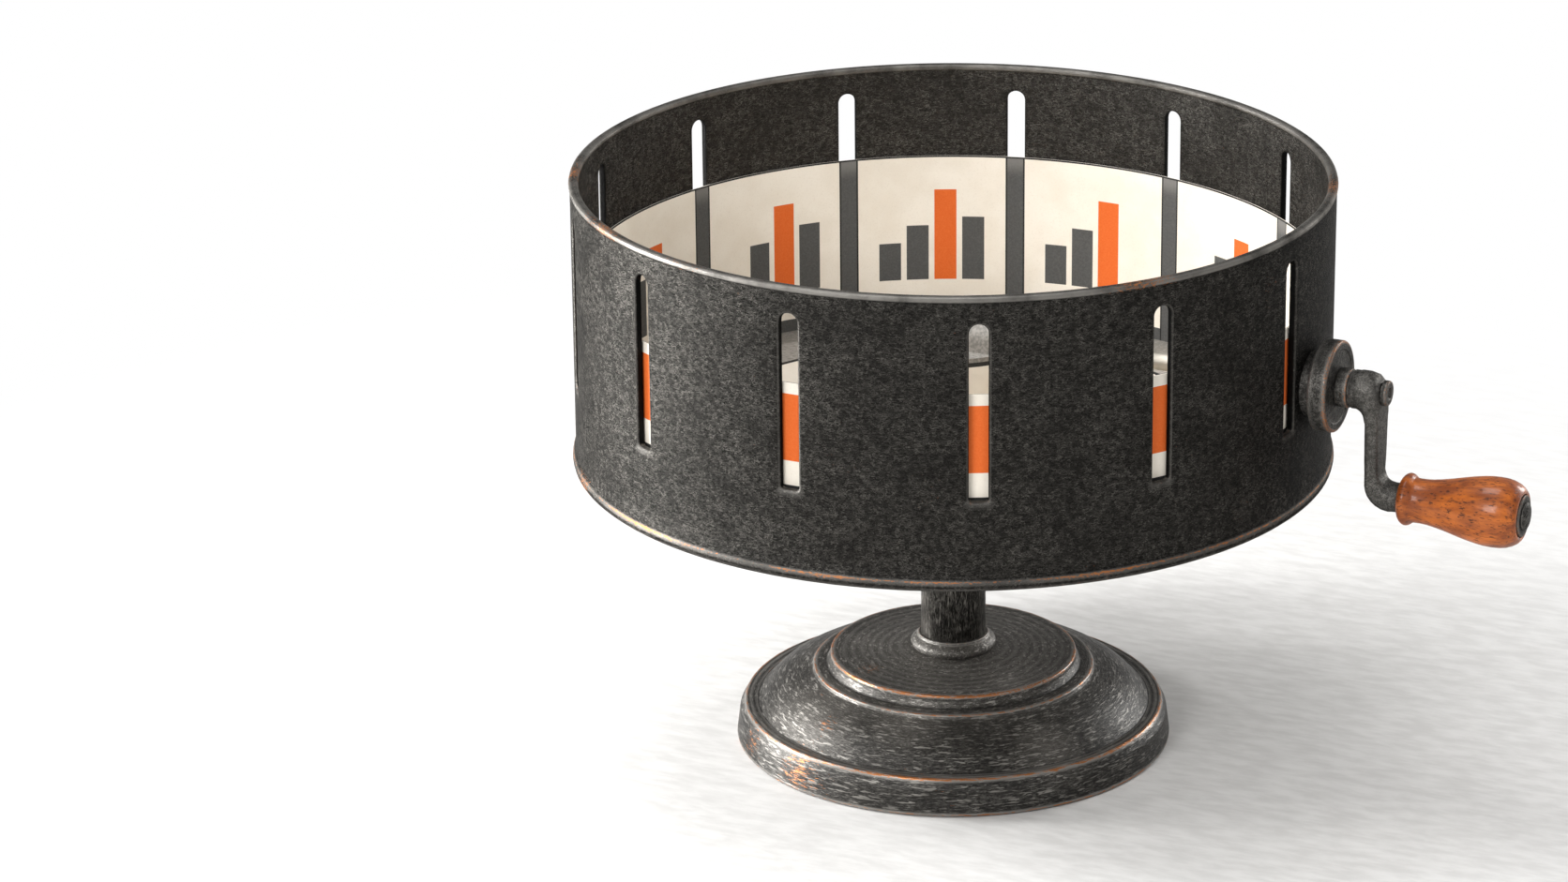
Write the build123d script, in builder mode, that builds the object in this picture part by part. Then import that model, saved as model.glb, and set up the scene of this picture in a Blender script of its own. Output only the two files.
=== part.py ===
from build123d import *
import os
from math import acos, atan2, cos, degrees, hypot, pi, radians, sin, sqrt, tan

os.makedirs("parts", exist_ok=True)

# A zoetrope: a slotted drum that turns on a stand, driven by a crank on its wall.
# Millimetres, Z up.  The origin is the centre of the underside of the base, and the
# crank shaft lies along +X.  Turning the crank rolls its bevel pinion round a gear that
# is fixed to the stand, so the drum and the crank travel round together.

# ---- Fits and clearances ---------------------------------------------------------
press_fit = 0.01        # radial, between pieces that stay together
running_fit = 0.05      # radial, between a shaft and its bearing
end_float = 0.10        # axial, between faces that slide on each other
thrust_gap = 0.30       # axial, beside the turning pieces of the crank
screw_clearance = 0.20  # radial, round a screw

# ---- Stand -----------------------------------------------------------------------
foot_r = 87.7
foot_top_r = 86.4
foot_h = 11.0
shoulder_r = 84.1
shoulder_z = 15.2
dome_r = 79.0           # foot of the dome
dome_rise = 2.0         # bulge of the dome above a straight cone
ring_r = 56.3
ring_z = 30.2
ring_step = 1.4
disc_r = 49.6
disc_z = 35.6
disc_edge = 2.8
seat_z = 37.4           # top of the casting, where the column stands
casting_wall = 6.5
boss_r = 19.0
boss_bottom_z = 13.0
foot_rim = 3.7          # width of the casting's rim round the felt
felt_t = 2.0
felt_proud = 0.6
felt_ledge = 6.0        # width of the ledge that the felt is glued to

column_r = 13.0
column_wall = 4.0
column_h = 74.0
collar_r = 17.0
collar_h = 6.0
collar_lip = 1.1

post_r = 6.0
post_end = 3.0          # thread standing past the nuts
nut_flats = 18.0
nut_h = 6.0
washer_r = 12.0
washer_t = 2.0

# ---- Drum ------------------------------------------------------------------------
drum_r = 150.0
drum_wall = 3.0
drum_h = 116.1
rim_h = 2.6
rim_proud = 0.45
bead_h = 5.6
bead_proud = 1.3
bottom_lip = 6.0        # width of the lip that carries the floor
bottom_lip_t = 2.3
floor_t = 2.5
slot_count = 13
slot_w = 7.5
slot_bottom = 30.5      # above the floor
slot_top = 10.8         # below the rim
slot_bevel = 0.9
slot_corner = 1.6
slot_angle = -8.0       # the slot beside the crank, degrees from +X

hub_r = 16.0
hub_neck = 6.0
hub_flange_r = 34.0
hub_flange_t = 4.0
hub_spigot_r = 14.0
hub_spigot_h = 8.0
bush_t = 2.0
hub_screw_ring_r = 26.0
hub_screw_count = 4
screw_r = 2.0
screw_head_r = 3.6
screw_head_h = 2.6

# ---- Drive -----------------------------------------------------------------------
crank_h = 45.0          # crank shaft above the drum floor
shaft_r = 3.5
tooth_module = 1.5      # at the outer end of the teeth
gear_teeth = 36
pinion_teeth = 12
face_w = 8.0
addendum = 0.70         # of the module
dedendum = 0.95         # of the module
backlash = 0.14         # taken from each tooth at the pitch circle
pressure_angle = 20.0
gear_hub_r = 11.5
gear_hub_h = 6.0
gear_web_t = 5.0
gear_pin_r = 1.5
pinion_hub_r = 6.7
pinion_hub_l = 6.5
pinion_pin_r = 1.0

bracket_barrel_r = 8.2
bracket_barrel_l = 12.0
bracket_web_t = 6.0
bracket_foot_l = 26.0
bracket_foot_w = 34.0
bracket_foot_t = 4.0
bracket_web_inset = 5.5
bracket_rib_t = 5.0
bracket_bush_t = 2.0
cover_wall = 1.2
cover_gear_gap = 3.0    # round and over the fixed gear
cover_top_gap = 1.4     # over the post's nut and the pinion
cover_shaft_gap = 0.7
cover_round = 7.5
cover_back = 13.0       # where the raised part starts, from the spindle
set_collar_r = 7.0
set_collar_l = 6.0
set_screw_r = 1.5

bearing_r = 13.0
bearing_proud = 3.8     # boss beyond the drum wall
bearing_sleeve_r = 7.0
bearing_nut_flats = 15.5
bearing_nut_t = 4.8
bearing_sleeve_end = 0.8

# ---- Crank -----------------------------------------------------------------------
plate_r = 18.0
plate_t = 7.4
neck_r = 7.7
neck_l = 4.9
neck_groove_r = 6.7
neck_groove_l = 0.8
arm_tube_r = 7.6
arm_tube_l = 6.7        # round part of the arm, before the flat bar
arm_t = 5.6
arm_length = 42.0       # between the two axes
arm_top_round = 7.0
arm_heel_round = 10.5
arm_inner_round = 3.6
arm_shoulder = 0.25     # step between the round parts and the bar
grip_tube_r = 5.8
grip_tube_l = 3.4
end_screw_r = 5.0
end_screw_h = 2.4
end_screw_stud_r = 1.6
end_screw_stud_l = 8.0

# ---- Grip ------------------------------------------------------------------------
grip_l = 48.6
grip_bead_r = 10.2
grip_bead_l = 4.9
grip_neck_r = 8.65
grip_neck_x = 8.4
grip_belly_r = 13.7
grip_belly_x = 36.5
grip_end_r = 12.6
grip_end_x = 44.4
grip_face_r = 9.9
grip_pin_r = 4.0
grip_pin_depth = 8.0    # seated in the arm
end_washer_r = 8.5
end_washer_t = 1.5
end_washer_recess = 1.2
end_cap_r = 5.5
end_cap_h = 1.8

# ---- Picture strip ---------------------------------------------------------------
strip_h = 72.0
strip_t = 0.6
strip_gap = 0.2         # inside the rim's bead, so that it lifts out
strip_notch_gap = 1.2   # round the bearing nut
card_r = 132.0          # paper disc on the floor
card_hole_r = 42.0
card_t = 0.5
card_gap = 1.5          # round the foot of the bracket

# ---- Heights and stations that follow --------------------------------------------
felt_r = foot_r - foot_rim
column_top = seat_z + column_h
hub_bottom = column_top + washer_t + end_float
flange_bottom = hub_bottom + hub_neck
floor_bottom = flange_bottom + hub_flange_t
floor_top = floor_bottom + floor_t
drum_bottom = floor_bottom - bottom_lip_t
rim_z = drum_bottom + drum_h
hub_top = floor_top + hub_spigot_h
crank_z = floor_top + crank_h
grip_z = crank_z - arm_length
inner_r = drum_r - drum_wall
slot_h = rim_z - slot_top - floor_top - slot_bottom

gear_r = tooth_module * gear_teeth / 2
pinion_r = tooth_module * pinion_teeth / 2
cone_l = hypot(gear_r, pinion_r)
cone_angle = degrees(atan2(pinion_r, gear_r))
inner_scale = (cone_l - face_w) / cone_l
tooth_top = addendum * tooth_module
tooth_root = dedendum * tooth_module

AXLE = Axis((0, 0, crank_z), (1, 0, 0))
GRIP_AXIS = Axis((0, 0, grip_z), (1, 0, 0))


def crank_plane(x, z=crank_z):
    """Plane square to the crank shaft at a station x, with Y across and Z up."""
    return Plane(origin=(x, 0, z), x_dir=(0, 1, 0), z_dir=(1, 0, 0))


def save(name, part):
    """Label a finished piece and write it."""
    part.label = name
    export_step(part, "parts/" + name + ".step")


# ==================================================================================
# Stand
# ==================================================================================

# Stepped base casting, hollow underneath, with a boss for the post.
wall_slope = (seat_z - ring_z) / (ring_r - column_r)
with BuildPart() as base_casting:
    with BuildSketch(Plane.XZ) as base_section:
        with BuildLine():
            Polyline(
                (felt_r + press_fit, felt_proud),
                (foot_r - 0.7, felt_proud),
                (foot_r, felt_proud + 1.0),
            )
            Line((foot_r, felt_proud + 1.0), (foot_top_r, foot_h))
            ThreePointArc(
                (foot_top_r, foot_h),
                (shoulder_r + 0.75 * (foot_top_r - shoulder_r), foot_h + 0.72 * (shoulder_z - foot_h)),
                (shoulder_r, shoulder_z),
            )
            Line((shoulder_r, shoulder_z), (dome_r, shoulder_z - 0.3))
            ThreePointArc(
                (dome_r, shoulder_z - 0.3),
                ((dome_r + ring_r) / 2 + dome_rise, (shoulder_z + ring_z - ring_step) / 2 + dome_rise),
                (ring_r + 0.7, ring_z - ring_step),
            )
            Line((ring_r + 0.7, ring_z - ring_step), (ring_r, ring_z))
            Line((ring_r, ring_z), (disc_r + 2.0, ring_z + 0.5))
            ThreePointArc(
                (disc_r + 2.0, ring_z + 0.5),
                (disc_r + 0.5, ring_z + 1.2),
                (disc_r, disc_z - disc_edge + 0.6),
            )
            Polyline(
                (disc_r, disc_z - disc_edge + 0.6),
                (disc_r, disc_z - 0.8),
                (disc_r - 0.9, disc_z),
            )
            ThreePointArc(
                (disc_r - 0.9, disc_z),
                ((disc_r + collar_r) / 2, (disc_z + seat_z) / 2 - 0.5),
                (collar_r, seat_z),
            )
            Line((collar_r, seat_z), (post_r + press_fit, seat_z))
            Line((post_r + press_fit, seat_z), (post_r + press_fit, boss_bottom_z))
            Line((post_r + press_fit, boss_bottom_z), (boss_r, boss_bottom_z))
            Line((boss_r, boss_bottom_z), (boss_r, disc_z - casting_wall))
            Line((boss_r, disc_z - casting_wall), (disc_r - casting_wall, disc_z - casting_wall))
            Line(
                (disc_r - casting_wall, disc_z - casting_wall),
                (ring_r - casting_wall / 2, ring_z - casting_wall),
            )
            Line(
                (ring_r - casting_wall / 2, ring_z - casting_wall),
                (felt_r - felt_ledge, felt_proud + casting_wall),
            )
            Line((felt_r - felt_ledge, felt_proud + casting_wall), (felt_r - felt_ledge, felt_t))
            Line((felt_r - felt_ledge, felt_t), (felt_r + press_fit, felt_t))
            Line((felt_r + press_fit, felt_t), (felt_r + press_fit, felt_proud))
        make_face()
    revolve(axis=Axis.Z)
save("base_casting", base_casting.part)

# Felt disc under the casting, a little proud of its edge.
with BuildPart() as base_felt:
    with BuildSketch(Plane.XY):
        Circle(felt_r)
    extrude(amount=felt_t)
save("base_felt", base_felt.part)

# Column, a thick tube between the base and the drum.
with BuildPart() as column_tube:
    with BuildSketch(Plane.XY.offset(seat_z)):
        Circle(column_r)
        Circle(column_r - column_wall, mode=Mode.SUBTRACT)
    extrude(amount=column_h)
    chamfer(column_tube.edges().group_by(Axis.Z)[-1].sort_by(SortBy.RADIUS)[-1], 0.8)
save("column_tube", column_tube.part)

# Half-round collar at the foot of the column, with a thin lip above it.
with BuildPart() as column_collar:
    with BuildSketch(Plane.XZ):
        with BuildLine():
            Line((column_r + press_fit, seat_z), (collar_r - 0.9, seat_z))
            ThreePointArc(
                (collar_r - 0.9, seat_z),
                (collar_r, seat_z + 0.42 * collar_h),
                (column_r + collar_lip + 0.5, seat_z + collar_h - 1.0),
            )
            Line(
                (column_r + collar_lip + 0.5, seat_z + collar_h - 1.0),
                (column_r + collar_lip, seat_z + collar_h),
            )
            Line((column_r + collar_lip, seat_z + collar_h), (column_r + press_fit, seat_z + collar_h))
            Line((column_r + press_fit, seat_z + collar_h), (column_r + press_fit, seat_z))
        make_face()
    revolve(axis=Axis.Z)
save("column_collar", column_collar.part)

# Nut and washer that draw the post down from inside the base.
with BuildPart() as base_washer:
    with BuildSketch(Plane.XY.offset(boss_bottom_z - washer_t)):
        Circle(washer_r)
        Circle(post_r + screw_clearance, mode=Mode.SUBTRACT)
    extrude(amount=washer_t)
save("base_washer", base_washer.part)

base_nut_bottom = boss_bottom_z - washer_t - nut_h
with BuildPart() as base_nut:
    with BuildSketch(Plane.XY.offset(base_nut_bottom)):
        RegularPolygon(radius=nut_flats / 2, side_count=6, major_radius=False)
        Circle(post_r + press_fit, mode=Mode.SUBTRACT)
    extrude(amount=nut_h)
save("base_nut", base_nut.part)

# Thrust washer on the column, which carries the weight of the drum.
with BuildPart() as thrust_washer:
    with BuildSketch(Plane.XY.offset(column_top)):
        Circle(washer_r)
        Circle(post_r + press_fit, mode=Mode.SUBTRACT)
    extrude(amount=washer_t)
save("thrust_washer", thrust_washer.part)

# ---- Bevel teeth -----------------------------------------------------------------
# Both gears share one cone apex, where the crank shaft's axis crosses the spindle's.
# Each tooth is drawn on the plane square to the pitch cone at the outer end, as the
# tooth of a spur gear whose radius is the back cone's, and shrinks towards the apex.
pitch_point = Vector(gear_r, 0, crank_z - pinion_r)
apex = Vector(0, 0, crank_z)
pitch_ray = (pitch_point - apex).normalized()


def involute(angle):
    """The involute function of an angle in radians."""
    return tan(angle) - angle


def flank_point(virtual_r, radius):
    """Half-width and height of a tooth's flank at a radius of the virtual spur gear."""
    base_r = virtual_r * cos(radians(pressure_angle))
    half_pitch = (pi * tooth_module / 2 - backlash) / (2 * virtual_r)
    turn = half_pitch + involute(radians(pressure_angle))
    if radius > base_r:
        turn -= involute(acos(base_r / radius))
    return radius * sin(turn), radius * cos(turn) - virtual_r


def tooth_outline(virtual_r, scale):
    """Corner, middle and tip points of one flank, from the root out, at a scale."""
    radii = (
        virtual_r - tooth_root - 0.4,
        virtual_r - tooth_root / 2,
        virtual_r + tooth_top / 3,
        virtual_r + tooth_top,
    )
    return [tuple(scale * value for value in flank_point(virtual_r, radius)) for radius in radii]


def tooth_faces(virtual_r, rise):
    """The faces of one tooth's ends, the tooth rising along a vector square to the cone."""
    faces = []
    for scale in (1.0, inner_scale):
        centre = apex + (pitch_point - apex) * scale
        plane = Plane(origin=centre, x_dir=rise.cross(pitch_ray), z_dir=pitch_ray)
        right = tooth_outline(virtual_r, scale)
        left = [(-x, y) for x, y in reversed(right)]
        with BuildSketch(plane) as section:
            with BuildLine():
                Polyline(*right, *left, close=True)
            make_face()
        faces.append(section.sketch.face())
    return faces


def cone_section(root_offset):
    """Outer and inner root points of a gear, as (distance along X, height)."""
    outer = pitch_point + root_offset
    inner = apex + (outer - apex) * inner_scale
    return (outer.X, outer.Z), (inner.X, inner.Z)


away_from_gear = Vector(-sin(radians(cone_angle)), 0, -cos(radians(cone_angle)))
gear_root, gear_root_inner = cone_section(away_from_gear * tooth_root)
pinion_root, pinion_root_inner = cone_section(away_from_gear * -tooth_root)
gear_virtual_r = gear_r / cos(radians(90 - cone_angle))
pinion_virtual_r = pinion_r / cos(radians(cone_angle))

# Spacer that holds the drum's hub down and the fixed gear up.
gear_bottom = gear_root[1] - gear_web_t - gear_hub_h
with BuildPart() as spacer_sleeve:
    with BuildSketch(Plane.XY.offset(hub_top + end_float)):
        Circle(hub_spigot_r - 2 * bush_t)
        Circle(post_r + press_fit, mode=Mode.SUBTRACT)
    extrude(amount=gear_bottom - hub_top - end_float)
save("spacer_sleeve", spacer_sleeve.part)

# Fixed bevel gear, teeth up, pinned to the post.
gear_pin_z = gear_bottom + gear_hub_h / 2
gear_seat_z = gear_root_inner[1] - 1.5
with BuildPart() as gear_tooth:
    loft(tooth_faces(gear_virtual_r, away_from_gear * -1), ruled=True)
with BuildPart() as fixed_gear:
    with BuildSketch(Plane.XZ):
        with BuildLine():
            Polyline(
                (post_r + press_fit, gear_bottom),
                (gear_hub_r, gear_bottom),
                (gear_hub_r, gear_bottom + gear_hub_h),
                (gear_root[0] - 1.0, gear_root[1] - gear_web_t / 2),
                gear_root,
                gear_root_inner,
                (gear_root_inner[0] - 1.5, gear_seat_z),
                (post_r + press_fit, gear_seat_z),
                close=True,
            )
        make_face()
    revolve(axis=Axis.Z)
    with PolarLocations(0, gear_teeth, start_angle=180 / gear_teeth):
        add(gear_tooth.part)
    with BuildSketch(Plane.XZ.offset(-gear_hub_r)):
        with Locations((0, gear_pin_z)):
            Circle(gear_pin_r + press_fit)
    extrude(amount=2 * gear_hub_r, mode=Mode.SUBTRACT)
save("fixed_gear", fixed_gear.part)

# Spindle post, threaded at both ends, on which the drum turns.
nut_top = gear_seat_z + nut_h
post_bottom = base_nut_bottom - post_end / 2
post_top = nut_top - 1.0
with BuildPart() as spindle_post:
    with BuildSketch(Plane.XY.offset(post_bottom)):
        Circle(post_r)
    extrude(amount=post_top - post_bottom)
    chamfer(spindle_post.edges().group_by(Axis.Z)[0], 0.8)
    with BuildSketch(Plane.XZ.offset(-gear_hub_r)):
        with Locations((0, gear_pin_z)):
            Circle(gear_pin_r + press_fit)
    extrude(amount=2 * gear_hub_r, mode=Mode.SUBTRACT)
save("spindle_post", spindle_post.part)

with BuildPart() as gear_pin:
    with BuildSketch(Plane.XZ.offset(-gear_hub_r + 0.3)):
        with Locations((0, gear_pin_z)):
            Circle(gear_pin_r)
    extrude(amount=2 * gear_hub_r - 0.6)
save("gear_pin", gear_pin.part)

# Nut with a closed top over the fixed gear.
with BuildPart() as post_nut:
    with BuildSketch(Plane.XY.offset(gear_seat_z)):
        RegularPolygon(radius=nut_flats / 2, side_count=6, major_radius=False)
    extrude(amount=nut_h)
    chamfer(post_nut.edges().group_by(Axis.Z)[-1], 0.8)
    with BuildSketch(Plane.XY.offset(gear_seat_z)):
        Circle(post_r + press_fit)
    extrude(amount=nut_h - 0.9, mode=Mode.SUBTRACT)
save("post_nut", post_nut.part)


# ==================================================================================
# Drum
# ==================================================================================

def slot_plane(index, radius):
    """Plane square to the wall at one slot, with X along the wall and Y up."""
    turn = radians(slot_angle + index * 360 / slot_count)
    outward = (cos(turn), sin(turn), 0)
    along = (-sin(turn), cos(turn), 0)
    origin = (radius * cos(turn), radius * sin(turn), floor_top + slot_bottom)
    return Plane(origin=origin, x_dir=along, z_dir=outward)


def slot_outline(grow):
    """Sketch of a slot, round at the top and square at the foot, grown all round."""
    half = slot_w / 2 + grow
    with BuildSketch() as outline:
        with Locations((0, (slot_h - slot_w / 2 - grow) / 2)):
            Rectangle(2 * half, slot_h - slot_w / 2 + grow)
        fillet(outline.vertices().group_by(Axis.Y)[0], slot_corner + grow / 2)
        with Locations((0, slot_h - slot_w / 2)):
            Circle(half)
    return outline.sketch


# Wall of the drum: rolled rim, bead round the foot and a lip inside it for the floor.
with BuildPart() as drum_shell:
    with BuildSketch(Plane.XZ):
        with BuildLine():
            Line((inner_r - bottom_lip, drum_bottom), (drum_r + bead_proud - 1.0, drum_bottom))
            ThreePointArc(
                (drum_r + bead_proud - 1.0, drum_bottom),
                (drum_r + bead_proud, drum_bottom + 0.4 * bead_h),
                (drum_r, drum_bottom + bead_h),
            )
            Line((drum_r, drum_bottom + bead_h), (drum_r, rim_z - rim_h))
            ThreePointArc(
                (drum_r, rim_z - rim_h),
                (drum_r + rim_proud, rim_z - rim_h / 2),
                (drum_r - 0.6, rim_z),
            )
            Line((drum_r - 0.6, rim_z), (inner_r + 0.6, rim_z))
            ThreePointArc(
                (inner_r + 0.6, rim_z),
                (inner_r - rim_proud, rim_z - rim_h / 2),
                (inner_r, rim_z - rim_h),
            )
            Line((inner_r, rim_z - rim_h), (inner_r, floor_bottom))
            Line((inner_r, floor_bottom), (inner_r - bottom_lip, floor_bottom))
            Line((inner_r - bottom_lip, floor_bottom), (inner_r - bottom_lip, drum_bottom))
        make_face()
    revolve(axis=Axis.Z)
    for index in range(slot_count):
        with BuildSketch(slot_plane(index, drum_r - 2 * drum_wall)):
            add(slot_outline(0))
        extrude(amount=4 * drum_wall, mode=Mode.SUBTRACT)
        with BuildSketch(slot_plane(index, drum_r - slot_bevel)) as slot_inside:
            add(slot_outline(0))
        with BuildSketch(slot_plane(index, drum_r + slot_bevel)) as slot_outside:
            add(slot_outline(2 * slot_bevel))
        loft([slot_inside.sketch.face(), slot_outside.sketch.face()], ruled=True, mode=Mode.SUBTRACT)
    with BuildSketch(crank_plane(drum_r - 2 * drum_wall)):
        Circle(bearing_sleeve_r + press_fit)
    extrude(amount=4 * drum_wall, mode=Mode.SUBTRACT)
save("drum_shell", drum_shell.part)

bracket_start = gear_r + pinion_hub_l + thrust_gap + 0.5
bracket_end = bracket_start + bracket_barrel_l
bracket_middle = (bracket_start + bracket_end) / 2
bracket_screw_places = (bracket_foot_l - 4 * screw_r, bracket_foot_w - 5 * screw_r)

# Floor disc, dropped in on to the lip, with holes for the hub and the bracket.
with BuildPart() as drum_floor:
    with BuildSketch(Plane.XY.offset(floor_bottom)):
        Circle(inner_r - 2 * press_fit)
        Circle(hub_spigot_r + press_fit, mode=Mode.SUBTRACT)
        with PolarLocations(hub_screw_ring_r, hub_screw_count, start_angle=45):
            Circle(screw_r + press_fit, mode=Mode.SUBTRACT)
        with Locations((bracket_middle, 0)):
            with GridLocations(*bracket_screw_places, 2, 2):
                Circle(screw_r + press_fit, mode=Mode.SUBTRACT)
    extrude(amount=floor_t)
save("drum_floor", drum_floor.part)

# Flanged hub under the floor, bored for its bush.
bush_r = post_r + running_fit + bush_t
with BuildPart() as drum_hub:
    with BuildSketch(Plane.XZ):
        with BuildLine():
            Polyline(
                (bush_r + press_fit, hub_bottom),
                (hub_r, hub_bottom),
                (hub_r, flange_bottom),
                (hub_flange_r, flange_bottom + hub_flange_t / 3),
                (hub_flange_r, floor_bottom),
                (hub_spigot_r, floor_bottom),
                (hub_spigot_r, hub_top),
                (bush_r + press_fit, hub_top),
                close=True,
            )
        make_face()
    revolve(axis=Axis.Z)
    with BuildSketch(Plane.XY.offset(flange_bottom)):
        with PolarLocations(hub_screw_ring_r, hub_screw_count, start_angle=45):
            Circle(screw_r + press_fit)
    extrude(amount=hub_flange_t, mode=Mode.SUBTRACT)
save("drum_hub", drum_hub.part)

with BuildPart() as hub_bush:
    with BuildSketch(Plane.XY.offset(hub_bottom)):
        Circle(bush_r)
        Circle(post_r + running_fit, mode=Mode.SUBTRACT)
    extrude(amount=hub_top - hub_bottom)
save("hub_bush", hub_bush.part)

# Screws down through the floor into the hub's flange.
with BuildPart() as hub_screws:
    with BuildSketch(Plane.XY.offset(floor_top)):
        with PolarLocations(hub_screw_ring_r, hub_screw_count, start_angle=45):
            Circle(screw_head_r)
    extrude(amount=screw_head_h)
    chamfer(hub_screws.edges().group_by(Axis.Z)[-1], 0.6)
    with BuildSketch(Plane.XY.offset(floor_top)):
        with PolarLocations(hub_screw_ring_r, hub_screw_count, start_angle=45):
            Circle(screw_r)
    extrude(amount=-(floor_t + hub_flange_t / 2))
save("hub_screws", hub_screws.part)

# Bracket that carries the inner end of the crank shaft.
with BuildPart() as inner_bracket:
    with BuildSketch(Plane.XY.offset(floor_top)) as bracket_foot:
        with Locations((bracket_middle, 0)):
            Rectangle(bracket_foot_l, bracket_foot_w)
        fillet(bracket_foot.vertices(), 3.0)
    extrude(amount=bracket_foot_t)
    with BuildSketch(crank_plane(bracket_middle - bracket_web_t / 2)):
        with BuildLine():
            Polyline(
                (-bracket_foot_w / 2 + bracket_web_inset, floor_top - crank_z + 1.0),
                (bracket_foot_w / 2 - bracket_web_inset, floor_top - crank_z + 1.0),
                (bracket_barrel_r * 0.9, 0),
                (-bracket_barrel_r * 0.9, 0),
                close=True,
            )
        make_face()
    extrude(amount=bracket_web_t)
    with BuildSketch(Plane.XZ.offset(-bracket_rib_t / 2)):
        with BuildLine():
            Polyline(
                (bracket_middle - bracket_foot_l / 2 + 2.0, floor_top + 1.0),
                (bracket_middle + bracket_foot_l / 2 - 2.0, floor_top + 1.0),
                (bracket_middle + bracket_foot_l / 2 - 2.0, floor_top + bracket_foot_t + 1.0),
                (bracket_end - 1.5, crank_z - bracket_barrel_r / 2),
                (bracket_start + 1.5, crank_z - bracket_barrel_r / 2),
                (bracket_middle - bracket_foot_l / 2 + 2.0, floor_top + bracket_foot_t + 1.0),
                close=True,
            )
        make_face()
    extrude(amount=bracket_rib_t)
    with BuildSketch(crank_plane(bracket_start)):
        Circle(bracket_barrel_r)
    extrude(amount=bracket_barrel_l)
    with BuildSketch(crank_plane(bracket_start)):
        Circle(shaft_r + running_fit + bracket_bush_t + press_fit)
    extrude(amount=bracket_barrel_l, mode=Mode.SUBTRACT)
    with BuildSketch(Plane.XY.offset(floor_top)):
        with Locations((bracket_middle, 0)):
            with GridLocations(*bracket_screw_places, 2, 2):
                Circle(screw_r + press_fit)
    extrude(amount=bracket_foot_t, mode=Mode.SUBTRACT)
save("inner_bracket", inner_bracket.part)

with BuildPart() as bracket_bush:
    with BuildSketch(crank_plane(bracket_start)):
        Circle(shaft_r + running_fit + bracket_bush_t)
        Circle(shaft_r + running_fit, mode=Mode.SUBTRACT)
    extrude(amount=bracket_barrel_l)
save("bracket_bush", bracket_bush.part)

with BuildPart() as bracket_screws:
    with BuildSketch(Plane.XY.offset(floor_top + bracket_foot_t)):
        with Locations((bracket_middle, 0)):
            with GridLocations(*bracket_screw_places, 2, 2):
                Circle(screw_head_r)
    extrude(amount=screw_head_h)
    chamfer(bracket_screws.edges().group_by(Axis.Z)[-1], 0.6)
    with BuildSketch(Plane.XY.offset(floor_top + bracket_foot_t)):
        with Locations((bracket_middle, 0)):
            with GridLocations(*bracket_screw_places, 2, 2):
                Circle(screw_r)
    extrude(amount=-(bracket_foot_t + floor_t))
save("bracket_screws", bracket_screws.part)

# Cover over the gears, pushed down over the bracket's foot, with a notch for the shaft.
cover_low = nut_top + cover_top_gap
cover_high = crank_z + pinion_r + tooth_top + cover_top_gap
cover_end = bracket_middle + bracket_foot_l / 2 + press_fit
cover_half = bracket_foot_w / 2 + press_fit


def cover_section(grow):
    """Sketch of the raised part of the cover across the shaft, grown outwards."""
    with BuildSketch() as section:
        with Locations((0, (floor_top + cover_high + grow) / 2)):
            Rectangle(2 * (cover_half + grow), cover_high + grow - floor_top)
        fillet(section.vertices().group_by(Axis.Y)[-1], cover_round + grow)
    return section.sketch


with BuildPart() as drive_cover:
    with BuildSketch(Plane.XY.offset(floor_top)):
        Circle(gear_r + cover_gear_gap + cover_wall)
    extrude(amount=cover_low + cover_wall - floor_top)
    with BuildSketch(crank_plane(cover_back - cover_wall, 0)):
        add(cover_section(cover_wall))
    extrude(amount=cover_end - cover_back + 2 * cover_wall)
    with BuildSketch(Plane.XY.offset(floor_top)):
        Circle(gear_r + cover_gear_gap)
    extrude(amount=cover_low - floor_top, mode=Mode.SUBTRACT)
    with BuildSketch(crank_plane(cover_back, 0)):
        add(cover_section(0))
    extrude(amount=cover_end - cover_back, mode=Mode.SUBTRACT)
    with BuildSketch(crank_plane(cover_end - cover_wall)):
        Circle(shaft_r + cover_shaft_gap)
        with Locations((0, -crank_h / 2)):
            Rectangle(2 * (shaft_r + cover_shaft_gap), crank_h)
    extrude(amount=3 * cover_wall, mode=Mode.SUBTRACT)
save("drive_cover", drive_cover.part)

# Paper disc on the floor, cut out round the hub and the bracket's foot.
with BuildPart() as floor_card:
    with BuildSketch(Plane.XY.offset(floor_top)):
        Circle(card_r)
        Circle(card_hole_r, mode=Mode.SUBTRACT)
        with Locations((bracket_middle, 0)):
            Rectangle(
                bracket_foot_l + 2 * card_gap,
                bracket_foot_w + 2 * card_gap,
                mode=Mode.SUBTRACT,
            )
    extrude(amount=card_t)
save("floor_card", floor_card.part)

# Flanged bearing through the wall, with a saddle face against the drum.
bearing_face = drum_r + bearing_proud
bearing_nut_corner = bearing_nut_flats / 2 / cos(radians(30))
bearing_nut_face = sqrt(inner_r ** 2 - bearing_nut_corner ** 2) - end_float
bearing_end = bearing_nut_face - bearing_nut_t - bearing_sleeve_end
saddle_start = sqrt(drum_r ** 2 - bearing_r ** 2) - 0.5
with BuildPart() as crank_bearing:
    with BuildSketch(crank_plane(saddle_start)):
        Circle(bearing_r)
    extrude(amount=bearing_face - saddle_start)
    chamfer(crank_bearing.edges().group_by(Axis.X)[-1], 0.8)
    with BuildSketch(Plane.XY.offset(drum_bottom)):
        Circle(drum_r + press_fit)
    extrude(amount=drum_h, mode=Mode.SUBTRACT)
    with BuildSketch(crank_plane(bearing_end)):
        Circle(bearing_sleeve_r)
    extrude(amount=bearing_face - bearing_end - 1.0)
    with BuildSketch(crank_plane(bearing_end)):
        Circle(shaft_r + running_fit)
    extrude(amount=bearing_face - bearing_end, mode=Mode.SUBTRACT)
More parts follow.
